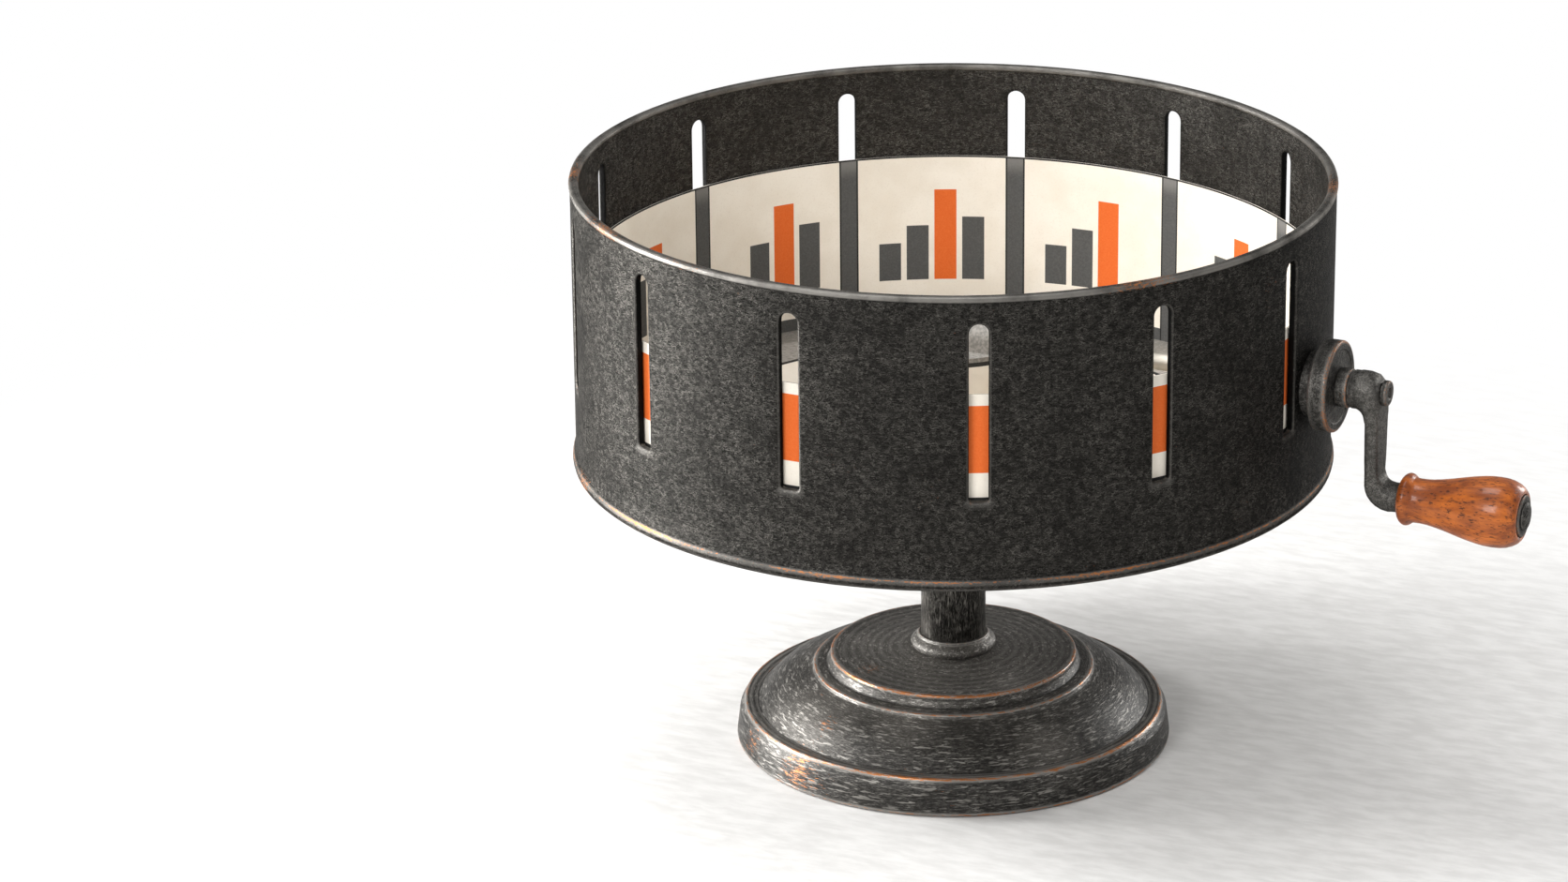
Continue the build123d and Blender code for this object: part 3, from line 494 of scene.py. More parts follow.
        # Painted shade in creases, where the mesh's mark is negative.
        crease_shaded = w.mix(wear_and_painted_light["CreaseShade"], w.mix(polish_and_sheen, ground, self.bare), self.crease_shade_colour)
        rough = w.plus(self.roughness, w.times(marks["Patch"], 0.16))
        w.put(shader, {
            "Base Color": w.mix(wear_and_painted_light["Wear"], crease_shaded, self.copper),
            "Metallic": w.ramp(wear_and_painted_light["Wear"], 0.0, 1.0, (self.metal, 0.6)),
            "Roughness": w.minus(rough, w.times(polish_and_sheen, 0.15)),
            "Specular IOR Level": self.gloss,
            "Specular Tint": (self.grazing,) * 3,
        })
        self.bump(w, shader, marks["Height"], 0.45, 0.0005)


@dataclass(frozen=True)
class TurnedMetal(Finish):
    """Bare machined metal with fine turning marks.

    Args:
        colour: the metal's colour.
        roughness: its roughness.
    """

    colour: Colour = (0.42, 0.41, 0.40)
    roughness: float = 0.32

    def weave(self, w: Weave, shader: Node, where: Socket) -> None:
        """Wire the finish in, as Finish.weave."""
        fine = w.noise(w.stretched(where, (1.0, 1.0, 3.0)), 1500.0, 3.0, 0.6)
        shade = tuple(channel * 0.6 for channel in self.colour)
        w.put(shader, {
            "Base Color": w.mix(w.ramp(w.noise(where, 90.0, 3.0, 0.5), 0.3, 0.7), shade, self.colour),
            "Roughness": w.ramp(fine, 0.3, 0.7, (self.roughness, self.roughness + 0.15)),
            "Metallic": 1.0,
        })
        self.bump(w, shader, fine, 0.25, 0.0002)


@dataclass(frozen=True)
class TurnedWood(Finish):
    """Varnished orange-brown wood with short dark grain along X.

    Args:
        pale: colour between the grain.
        deep: colour of the broad figure.
        pore: colour of the short dark lines.
    """

    pale: Colour = (0.50, 0.128, 0.016)
    deep: Colour = (0.21, 0.046, 0.007)
    pore: Colour = (0.030, 0.007, 0.002)

    def weave(self, w: Weave, shader: Node, where: Socket) -> None:
        """Wire the finish in, as Finish.weave."""
        figure = w.noise(w.stretched(where, (0.25, 1.0, 1.0)), 220.0, 4.0, 0.6)
        pores = w.noise(w.stretched(where, (0.22, 1.0, 1.0)), 1400.0, 3.0, 0.6)
        marks = w.ramp(pores, 0.54, 0.66)
        colour = w.mix(w.ramp(figure, 0.35, 0.68), self.deep, self.pale)
        w.put(shader, {
            "Base Color": w.mix(w.times(marks, 0.8), colour, self.pore),
            "Roughness": w.ramp(pores, 0.4, 0.7, (0.36, 0.55)),
            "Specular IOR Level": 0.3,
            "Coat Weight": 0.22,
            "Coat Roughness": 0.10,
        })
        self.bump(w, shader, marks, 0.3, -0.0002)


@dataclass(frozen=True)
class Felt(Finish):
    """Pressed felt.

    Args:
        colour: its colour.
    """

    colour: Colour = (0.018, 0.030, 0.022)

    def weave(self, w: Weave, shader: Node, where: Socket) -> None:
        """Wire the finish in, as Finish.weave."""
        fibre = w.noise(where, 1800.0, 4.0, 0.7)
        pale = tuple(channel * 2.2 for channel in self.colour)
        colour = w.mix(w.ramp(fibre, 0.35, 0.7), self.colour, pale)
        w.put(shader, {"Base Color": colour, "Roughness": 0.95, "Sheen Weight": 0.3})
        self.bump(w, shader, fibre, 0.6, 0.0004)


def card_ground(w: Weave, where: Socket) -> tuple[Socket, Socket]:
    """Cream card with a fine tooth.

    Args:
        w: the tree's weave.
        where: object coordinates.

    Returns:
        The colour and the tooth's height.
    """
    tooth = w.noise(where, 1300.0, 4.0, 0.7)
    cloud = w.noise(where, 60.0, 3.0, 0.5)
    cream = w.mix(w.ramp(cloud, 0.3, 0.7), (0.86, 0.79, 0.68), (0.92, 0.86, 0.76))
    return w.mix(w.ramp(tooth, 0.5, 0.75, (0.0, 0.4)), cream, (0.72, 0.645, 0.54)), tooth


@dataclass(frozen=True)
class PlainCard(Finish):
    """Cream disc with a grey band of painted shade outside a dark line.

    Args:
        line: radius of the line, in millimetres.
        line_half: half its width.
    """

    line: float = 112.0
    line_half: float = 1.1

    def weave(self, w: Weave, shader: Node, where: Socket) -> None:
        """Wire the finish in, as Finish.weave."""
        cream, tooth = card_ground(w, where)
        radius = w.math("DIVIDE", w.from_axis(where), MM)
        hatch = w.noise(w.stretched(where, (1.0, 4.0, 1.0)), 420.0, 3.0, 0.6)
        # Painted shade: grey outside the dark line.
        painted_shade_border = w.mix(w.ramp(hatch, 0.35, 0.65), (0.22, 0.205, 0.185), (0.40, 0.38, 0.345))
        colour = w.mix(w.math("GREATER_THAN", radius, self.line), cream, painted_shade_border)
        ruled = w.mix(w.near(radius, self.line, self.line_half), colour, INK)
        w.put(shader, {"Base Color": ruled, "Roughness": 0.85})
        self.bump(w, shader, tooth, 0.3, 0.0002)


@dataclass(frozen=True)
class CreamPaint(Finish):
    """Cream paint with a faint orange peel, rubbed through in small spots, and painted shade in grey above a dark
    line.

    Args:
        line: height of the line, in millimetres.
        line_half: half its width.
    """

    line: float = 168.0
    line_half: float = 0.9

    def weave(self, w: Weave, shader: Node, where: Socket) -> None:
        """Wire the finish in, as Finish.weave."""
        peel = w.noise(where, 900.0, 2.0, 0.5)
        cloud = w.noise(where, 70.0, 3.0, 0.55)
        spots = w.ramp(w.noise(where, 420.0, 3.0, 0.65), 0.70, 0.76)
        cream = w.mix(w.ramp(cloud, 0.3, 0.7), (0.84, 0.77, 0.66), (0.90, 0.84, 0.74))
        # Painted shade: grey above the dark line.
        grey = w.mix(w.ramp(peel, 0.35, 0.65), (0.20, 0.19, 0.17), (0.32, 0.30, 0.27))
        z = w.math("DIVIDE", w.parts(where)[2], MM)
        colour = w.mix(w.math("GREATER_THAN", z, self.line), cream, grey)
        ruled = w.mix(w.near(z, self.line, self.line_half), colour, INK)
        w.put(shader, {
            "Base Color": w.mix(w.times(spots, 0.6), ruled, (0.30, 0.25, 0.20)),
            "Roughness": w.ramp(cloud, 0.3, 0.7, (0.45, 0.60)),
        })
        self.bump(w, shader, peel, 0.15, 0.0002)


@dataclass(frozen=True)
class PrintedBand(Finish):
    """Cream card printed with a bar chart in each frame, seen from inside the drum.

    The outer face has one orange block behind each slot.  The faces are told apart by
    their distance from the axis.  Lengths are in millimetres.

    Args:
        frames: number of frames round the band.
        first: angle of a slot, in degrees.
        inner, split: radius of the printed inner face, and one between the two faces.
        top, foot: height of the band's top and of the bars' feet.
        hem, sill: heights under which the inner face is grey and the outer face is dark as a painted shadow.
        bar, step: width of a bar, and distance between bars.
        rule, line_at, line_half: half the divider, and middle and half of its side line.
        fade: height over which the divider gets lighter at its top.
        block, low, high: half width, foot and top of the outer orange block.
        dance: mean height, swing and phase of the four bars; one under its foot doesn't show.
    """

    frames: int = 13
    first: float = -8.0
    inner: float = 145.75
    split: float = 146.05
    top: float = 198.0
    foot: float = 143.5
    hem: float = 131.3
    sill: float = 157.3
    bar: float = 9.3
    step: float = 11.7
    rule: float = 3.9
    line_at: float = 3.7
    line_half: float = 0.35
    fade: float = 9.0
    block: float = 7.0
    low: float = 167.0
    high: float = 193.6
    dance: tuple[Point, ...] = ((0.0, 19.0, -1.77), (25.0, 1.5, 0.0), (37.5, 2.2, -2.3), (0.0, 32.0, -2.82))
    orange: Colour = (0.74, 0.122, 0.010)
    grey: Colour = (0.068, 0.068, 0.066)

    def weave(self, w: Weave, shader: Node, where: Socket) -> None:
        """Wire the finish in, as Finish.weave."""
        ground, tooth = card_ground(w, where)
        x, y, height = w.parts(where)
        z = w.math("DIVIDE", height, MM)
        radius = w.math("DIVIDE", w.math("SQRT", w.plus(w.times(x, x), w.times(y, y))), MM)
        turn = w.math("DIVIDE", w.math("ARCTAN2", y, x), TURN / self.frames)
        frame_at = w.minus(turn, self.first / 360 * self.frames)
        index = w.math("FLOOR", frame_at)
        share = w.minus(w.minus(frame_at, index), 0.5)
        pitch = TURN * self.inner / self.frames
        across = w.times(share, -pitch)
        inside = w.math("LESS_THAN", radius, self.split)
        outside = w.minus(1.0, inside)
        masks = []
        for k, (mean, swing, phase) in enumerate(self.dance):
            beat = w.math("SINE", w.plus(w.times(index, 2 * TURN / self.frames), phase))
            tip = w.plus(self.foot, w.plus(mean, w.times(beat, swing)))
            wide = w.near(across, (k - 1.5) * self.step, self.bar / 2)
            masks.append(w.times(wide, w.between(z, self.foot, tip)))
        greys = w.plus(w.plus(masks[0], masks[1]), masks[3])
        edge = w.times(w.minus(0.5, w.math("ABSOLUTE", share)), pitch)
        rule = w.math("LESS_THAN", edge, self.rule)
        greys = w.most(greys, w.most(rule, w.math("LESS_THAN", z, self.hem)))
        behind = w.times(w.math("LESS_THAN", edge, self.block), w.between(z, self.low, self.high))
        orange = w.plus(w.times(inside, masks[2]), w.times(outside, behind), clamp=True)
        ink = w.ramp(tooth, 0.3, 0.75, (0.0, 0.35))
        high_up = w.times(w.times(w.ramp(z, self.top - self.fade, self.top - 1.0), rule), 0.6)
        grey_ink = w.mix(high_up, w.mix(ink, self.grey, (0.16, 0.16, 0.155)), (0.26, 0.25, 0.235))
        orange_ink = w.mix(ink, self.orange, (0.86, 0.22, 0.05))
        printed = w.mix(w.times(inside, greys), ground, grey_ink)
        # Painted shadow: the outer face is dark under the sill height.
        sill = w.times(outside, w.math("LESS_THAN", z, self.sill))
        sides = w.near(edge, self.line_at, self.line_half)
        lines = w.times(inside, w.most(sides, w.math("GREATER_THAN", z, self.top - 0.6)))
        colour = w.mix(w.most(sill, lines), w.mix(orange, printed, orange_ink), (0.016, 0.016, 0.015))
        w.put(shader, {"Base Color": colour, "Roughness": 0.82})
        self.bump(w, shader, tooth, 0.25, 0.0002)


# --- Meshes ---


class Corner(NamedTuple):
    """One corner of a turned outline, in millimetres.

    Args:
        across: distance from the axis.
        along: place along the axis.
        blend: radius of its rounding.
        wear: its wear, 0 to 1, which also paints a light edge highlight, or how dark its painted crease shade is,
            0 to -1.
    """

    across: float
    along: float
    blend: float = 0.0
    wear: float = 0.0

    @property
    def place(self) -> Vector:
        """Its place as a vector."""
        return Vector((self.across, self.along))


Place = tuple[float, float]
Outline = Sequence[tuple[float, ...]]  # rows for Corner


class Spindle(Enum):
    """Direction of the axis that a piece is turned on."""

    UPRIGHT = "z"
    ACROSS = "x"


def bulge(ends: Outline, steps: int = 8, wear: float = 0.0) -> list[tuple[float, ...]]:
    """Corners along a curve through three places.

    Args:
        ends: first place, a place halfway, and last place; the ends aren't repeated in the result.
        steps: number of runs.
        wear: how much wear the curve has.

    Returns:
        The corners between the ends.
    """
    start, middle, end = ends
    pull = tuple(2 * m - 0.5 * (a + b) for a, m, b in zip(start, middle, end))
    made = []
    for i in range(1, steps):
        t = i / steps
        a, b, c = (1 - t) ** 2, 2 * t * (1 - t), t * t
        made.append((*(a * p + b * q + c * r for p, q, r in zip(start, pull, end)), 0.0, wear))
    return made


def rounded(outline: Outline, loop: bool, guard: float = 1.3) -> list[Point]:
    """Outline with its corners rounded and its wear kept close to them.

    Args:
        outline: its corners in order.
        loop: whether the last joins the first.
        guard: distance from a rounding at which the wear has faded.

    Returns:
        Places across and along the axis, each with its wear.
    """
    bend, fade_end, gap = 0.42, 0.49, 0.2  # shares of a side for rounding and fading, and the least run between
    made: list[Point] = []
    corners = [Corner(*row) for row in outline]
    count = len(corners)
    for i, corner in enumerate(corners):
        inner = loop or 0 < i < count - 1
        if not inner or (corner.blend <= 0 and corner.wear == 0):
            made.append((corner.across, corner.along, corner.wear))
            continue
        here = corner.place
        before, after = corners[i - 1].place - here, corners[(i + 1) % count].place - here
        tight = max(corner.blend, 0.05) / math.tan(before.angle(after) / 2)
        reach = min(tight, bend * before.length, bend * after.length)
        first, last = before.normalized(), after.normalized()
        spread = guard if corner.wear > 0 else 0.4 * guard
        steps = 4 if corner.blend > 0.8 else 3
        shares = [k / steps for k in range(steps + 1)]
        run = [here + first * reach * (1 - t) ** 2 + last * reach * t * t for t in shares]
        fades = [[], []]
        for fade, side, aim in zip(fades, (before, after), (first, last)):
            half = side.length * fade_end
            if corner.wear and half > reach + gap:
                fade.append((*(here + aim * min(reach + spread, half)), 0.0))
        made += [*fades[0], *((*place, corner.wear) for place in run), *fades[1]]
    return made


def face_out(mesh: bpy.types.Mesh, sharp: float = SHARP, weld: float = 0.0) -> None:
    """Turn a mesh's faces outward and shade it smooth up to an angle.

    Args:
        mesh: the mesh.
        sharp: angle over which an edge stays sharp, in degrees.
        weld: distance in metres under which points are joined first, or 0.
    """
    work = bmesh.new()
    work.from_mesh(mesh)
    if weld:
        bmesh.ops.remove_doubles(work, verts=work.verts, dist=weld)
    bmesh.ops.recalc_face_normals(work, faces=work.faces)
    work.to_mesh(mesh)
    work.free()
    mesh.shade_smooth()
    mesh.set_sharp_from_angle(angle=math.radians(sharp))


def linked(name: str, data: bpy.types.ID) -> Object:
    """Make an object and link it to the scene.

    Args:
        name: its name.
        data: its mesh, camera or lamp.

    Returns:
        The object.
    """
    made = bpy.data.objects.new(name, data)
    bpy.context.scene.collection.objects.link(made)
    return made


class Net:
    """Points, wear (negative where it paints shade in a crease) and faces of a mesh that is being built, in
    millimetres.
    """

    def __init__(self) -> None:
        """Start empty."""
        self.points: list[Point] = []
        self.wear: list[float] = []
        self.faces: list[list[int]] = []

    def row(self, points: Sequence[Point], wear_and_painted_light: float = 0.0) -> list[int]:
        """Add points.

        Args:
            points: the points.
            wear_and_painted_light: their wear, negative where it paints shade in a crease.

        Returns:
            Their numbers.
        """
        start = len(self.points)
        self.points += points
        self.wear += [wear_and_painted_light] * len(points)
        return list(range(start, len(self.points)))

    def stitch(self, rows: Sequence[Sequence[int]], closed: bool = True) -> None:
        """Join rows of points with faces, each row to the next.

        Args:
            rows: the rows.
            closed: whether each row closes on itself.
        """
        for a, b in zip(rows, rows[1:]):
            for k in range(len(a) if closed else len(a) - 1):
                n = (k + 1) % len(a)
                face = [a[k], a[n], b[n], b[k]]
                face = [v for i, v in enumerate(face) if v != face[i - 1]]
                if len(set(face)) > 2:
                    self.faces.append(face)

    def piece(self, name: str, sharp: float = SHARP) -> Object:
        """Make an object of the net, linked to the scene.

        Args:
            name: the piece's name.
            sharp: angle over which an edge stays sharp, in degrees.

        Returns:
            The object.
        """
        mesh = bpy.data.meshes.new(name)
        mesh.from_pydata([(x * MM, y * MM, z * MM) for x, y, z in self.points], [], self.faces)
        mesh.attributes.new("wear", "FLOAT", "POINT").data.foreach_set("value", self.wear)
        face_out(mesh, sharp, WELD)
        return linked(name, mesh)


def turned(name: str, outline: Outline, spindle: Spindle, height: float = 0.0, around: int = 96,
           loop: bool = True) -> Object:
    """Turn an outline on a spindle.

    Args:
        name: the piece's name.
        outline: the corners.
        spindle: direction of the axis.
        height: height of a level axis.
        around: steps round the axis.
        loop: whether the outline closes on itself; otherwise both ends lie on the axis.

    Returns:
        The turned piece.
    """
    net = Net()
    rows = []
    for across, along, wear_and_painted_light in rounded(outline, loop):
        steps = 1 if across < 1e-6 else around
        turns = [TURN * k / around for k in range(steps)]
        places = [(across * math.cos(turn), across * math.sin(turn)) for turn in turns]
        upright = spindle is Spindle.UPRIGHT
        row = net.row([(u, v, along) if upright else (along, u, height + v) for u, v in places], wear_and_painted_light)
        rows.append(row * around if steps == 1 else row)
    net.stitch(rows + rows[:1] if loop else rows)
    return net.piece(name)


def ring_tree(name: str) -> Tree:
    """Geometry Nodes tree that repeats a mesh round the upright axis.

    Args:
        name: the tree's name.

    Returns:
        The tree, with inputs Count, Start and Finish.
    """
    tree = bpy.data.node_groups.new(name, "GeometryNodeTree")
    for label, kind in (("Geometry", "Geometry"), ("Count", "Int"), ("Start", "Float"), ("Finish", "Material")):
        tree.interface.new_socket(label, in_out="INPUT", socket_type=f"NodeSocket{kind}")
    tree.interface.new_socket("Geometry", in_out="OUTPUT", socket_type="NodeSocketGeometry")
    w = Weave(tree)
    given = w.add("NodeGroupInput").outputs
    line = w.put(w.add("GeometryNodeMeshLine"), {"Count": given["Count"], "Offset": (0.0, 0.0, 0.0)})
    index = w.add("GeometryNodeInputIndex").outputs[0]
    angle = w.plus(w.times(index, w.math("DIVIDE", TURN, given["Count"])), given["Start"])
    facing = w.add("ShaderNodeCombineXYZ", None, None, angle)
    placed = w.put(w.add("GeometryNodeInstanceOnPoints"), {
        "Points": line.outputs[0], "Instance": given["Geometry"], "Rotation": facing.outputs[0],
    })
    real = w.add("GeometryNodeRealizeInstances", placed.outputs[0])
    joined = w.put(w.add("GeometryNodeMergeByDistance"), {"Geometry": real.outputs[0], "Distance": SEAM})
    dressed = w.put(w.add("GeometryNodeSetMaterial"), {"Geometry": joined.outputs[0], "Material": given["Finish"]})
    w.add("NodeGroupOutput", dressed.outputs[0])
    return tree


def grown(host: Object, tree: Tree, values: dict[str, object]) -> Object:
    """Run a Geometry Nodes tree on an object and keep the result as a plain mesh.

    Args:
        host: the object that the tree reads.
        tree: the tree.
        values: input name to value.

    Returns:
        The same object with its new mesh and no modifier.
    """
    modifier = host.modifiers.new("repeat", "NODES")
    modifier.node_group = tree
    for item in tree.interface.items_tree:
        if item.item_type == "SOCKET" and item.in_out == "INPUT" and item.name in values:
            modifier[item.identifier] = values[item.name]
    graph = bpy.context.evaluated_depsgraph_get()
    mesh = bpy.data.meshes.new_from_object(host.evaluated_get(graph), depsgraph=graph)
    host.modifiers.remove(modifier)
    old, host.data = host.data, mesh
    bpy.data.meshes.remove(old)
    mesh.name = host.name
    face_out(mesh)
    return host


def fit_out(piece: Object, body: str, finish: Finish, node: str) -> None:
    """Dress a piece, hang it on its body and let it stand for its node.

    Args:
        piece: the piece.
        body: the body it rides on.
        finish: its finish.
        node: the node it stands for.
    """
    piece.data.materials.clear()
    piece.data.materials.append(finish.material())
    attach(piece, body)
    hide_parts(node)
    LOG.info("%s: %d faces on %s, for %s", piece.name, len(piece.data.polygons), body, node)


def redress(finish: Finish, *nodes: str) -> None:
    """Give carried-over nodes a better finish.

    Args:
        finish: the finish.
        nodes: the nodes.
    """
    for node in nodes:
        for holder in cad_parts[node].material_slots:
            holder.material = finish.material()
        LOG.info("%s keeps its mesh, in %s", node, finish.name)


CASTING = BlackIron(
    "blackened casting", dark=(0.018, 0.017, 0.0155), light=(0.26, 0.247, 0.225),
    roughness=0.36, metal=0.45, gloss=0.35, grazing=0.5,
    around=14.0, fine=1100.0, stroke=0.8, wear=0.56, polish_and_sheen=1.0,
    # Painted highlights: the dome's left front, the disc under the drum and spots round the column's foot.
    painted_highlights=((-36, -58, 25, 38), (-30, -46, 36, 26), (6, -58, 31, 26), (0, 0, 40, 92),
            (-34, -8, 38, 30), (34, -22, 38, 22), (60, -45, 20, 22)),
    rubs=((-31, -81, 7, 30), (-27, -64, 23, 11), (-22, -33, 36, 11), (-60, -61, 9, 18)),
)
COLUMN = BlackIron(
    "blackened column", dark=(0.010, 0.0095, 0.0085), light=(0.26, 0.245, 0.22), roughness=0.3, grazing=0.5,
    around=16.0, fine=900.0, rise=170.0, stroke=0.7, wear=0.5,
    # Painted highlight down the column's left side.
    painted_highlights=((-11, -7, 58, 9), (-9, -9, 48, 9), (-12, -4, 70, 10)),
)
SHEET = BlackIron(
    "blackened sheet", light=(0.13, 0.123, 0.111), around=66.0, fine=1250.0, width=0.036, stroke=0.25,
    # Painted light: the rim's band is lighter as a painted sheen, and the inside of the wall lighter as painted
    # light.
    wear=0.5, bright=(234.9, 237.6), painted_inside_radius=148.4,
    rubs=((-138, -58, 241, 40), (-96, -115, 242, 40), (-50, -141, 247, 30),
          (117, -94, 244, 40), (142, 46, 240, 44), (-118, -95, 116, 34)),
)
FLOOR_SHEET = BlackIron(
    "bare floor sheet", dark=(0.20, 0.19, 0.17), light=(0.36, 0.34, 0.31), metal=0.1, around=80.0, fine=620.0,
)
CRANK_IRON = BlackIron(
    "crank iron", dark=(0.02, 0.0195, 0.018), light=(0.24, 0.228, 0.21), roughness=0.32, metal=0.6,
    fine=1100.0, stroke=0.3, wear=0.42,
)
STEEL = TurnedMetal("turned steel")
DULL_STEEL = TurnedMetal("dull steel", colour=(0.60, 0.56, 0.49), roughness=0.5)
BRONZE = TurnedMetal("bronze", colour=(0.50, 0.30, 0.13), roughness=0.3)
WOOD = TurnedWood("turned wood")
CREAM = CreamPaint("cream paint")
FELT = Felt("green felt")
CARD = PlainCard("plain card")
PRINT = PrintedBand("printed card")


# --- Sub-assemblies ---


@dataclass
class Stand:
    """Stepped base casting, column and collar.

    Args:
        foot_r, foot_top_r, foot_h: radius of the foot, radius at the top of its side, and its height.
        shoulder_r, shoulder_z: outer radius and height of the flat shoulder.
        dome_r: foot of the dome.
        ring_r, ring_z: radius and height of the ring over the dome.
        disc_r, disc_z: radius of the top disc and height of its rim.
        seat_z: height at the column.
        column_r, column_h, collar_r, collar_h: radius and height of the column and of its collar.
        felt_r, post_r: radius of the felt and of the bore.
        wall: thickness of the casting.
    """

    foot_r: float = 87.7
    foot_top_r: float = 86.4
    foot_h: float = 11.0
    shoulder_r: float = 84.1
    shoulder_z: float = 15.2
    dome_r: float = 79.0
    ring_r: float = 56.3
    ring_z: float = 30.2
    disc_r: float = 49.6
    disc_z: float = 35.6
    seat_z: float = 37.4
    column_r: float = 13.0
    column_h: float = 74.0
    collar_r: float = 17.0
    collar_h: float = 6.0
    felt_r: float = 84.0
    post_r: float = 6.05
    wall: float = 6.5

    def casting(self) -> Object:
        """Turn the base casting.

        Returns:
            The piece.
        """
        sr, sz, rr, rz = self.shoulder_r, self.shoulder_z, self.ring_r, self.ring_z
        dr, dz, under, hub_r, hub_z = self.disc_r, self.disc_z, 2.05, 19.0, 13.0
        # Negative wear paints shade in the creases at the dome's foot and round the disc; positive wear also
        # paints a light edge highlight.
        outline = [
            (self.felt_r + 0.1, 0.62, 0.2),
            (self.foot_r, 0.62, 0.8, 0.85), (self.foot_r - 0.2, 2.2), (self.foot_top_r, self.foot_h, 3.5),
            (sr, sz, 1.0, 0.9), (sr - 2.0, sz - 0.12, 0.0, 0.65),
            (self.dome_r + 0.4, sz - 0.27, 0.0, 0.6), (self.dome_r, sz - 0.3, 0.1, -0.5),
            *bulge(((self.dome_r - 1.2, sz + 0.4), (69.4, 23.7), (rr + 0.9, rz - 1.8)), 10),
            (rr + 0.7, rz - 1.4, 0.5, 0.1), (rr, rz, 0.7, 0.85),
            (dr + 1.6, rz + 0.5, 0.9, -0.5), (dr, dz - 2.2, 0.8, -0.2), (dr, dz, 0.9, 0.95),
            *bulge(((dr - 2.0, dz + 0.05), (33.3, 36.0), (self.collar_r + 0.5, self.seat_z)), 8, 0.35),
            (self.collar_r, self.seat_z, 0.2), (self.post_r, self.seat_z), (self.post_r, hub_z),
            (hub_r, hub_z, 1.0), (hub_r, dz - self.wall, 2.0), (dr - self.wall, dz - self.wall, 2.0),
            (rr - self.wall / 2, rz - self.wall, 2.0), (self.felt_r - 6.0, 0.6 + self.wall, 1.0),
            (self.felt_r - 6.0, under), (self.felt_r + 0.1, under),
        ]
        return turned("cast_base", outline, Spindle.UPRIGHT, around=192)

    def column(self) -> Object:
        """Turn the column.

        Returns:
            The piece.
        """
        r, low, top = self.column_r, self.seat_z, self.seat_z + self.column_h
        bore = r - 4.0
        outline = [(r, low, 0.1), (r, top - 1.6, 0.1, 0.3), (r, top, 0.8, 0.6), (bore, top, 0.2), (bore, low, 0.1)]
        return turned("column", outline, Spindle.UPRIGHT)

    def collar(self) -> Object:
        """Turn the collar at the foot of the column.

        Returns:
            The piece.
        """
        r, c, low, top = self.collar_r, self.column_r, self.seat_z, self.seat_z + self.collar_h
        outline = [
            (c + 0.02, low), (r - 0.9, low, 0.2),
            *bulge(((r - 0.9, low), (r + 0.05, low + 2.5), (c + 1.7, low + 4.9))),
            (c + 1.6, low + 5.0, 0.1, 0.75), (c + 1.1, top, 0.3, 0.8), (c + 0.02, top),
        ]
        return turned("column_ring", outline, Spindle.UPRIGHT)

    def make(self) -> None:
        """Build and dress the stand."""
        fit_out(self.casting(), "stand", CASTING, "base_casting")
        fit_out(self.column(), "stand", COLUMN, "column_tube")
        fit_out(self.collar(), "stand", CASTING, "column_collar")
        redress(FELT, "base_felt")
        redress(STEEL, "base_washer", "base_nut", "spindle_post", "gear_pin", "post_nut", "spacer_sleeve")
        redress(BRONZE, "fixed_gear", "thrust_washer")


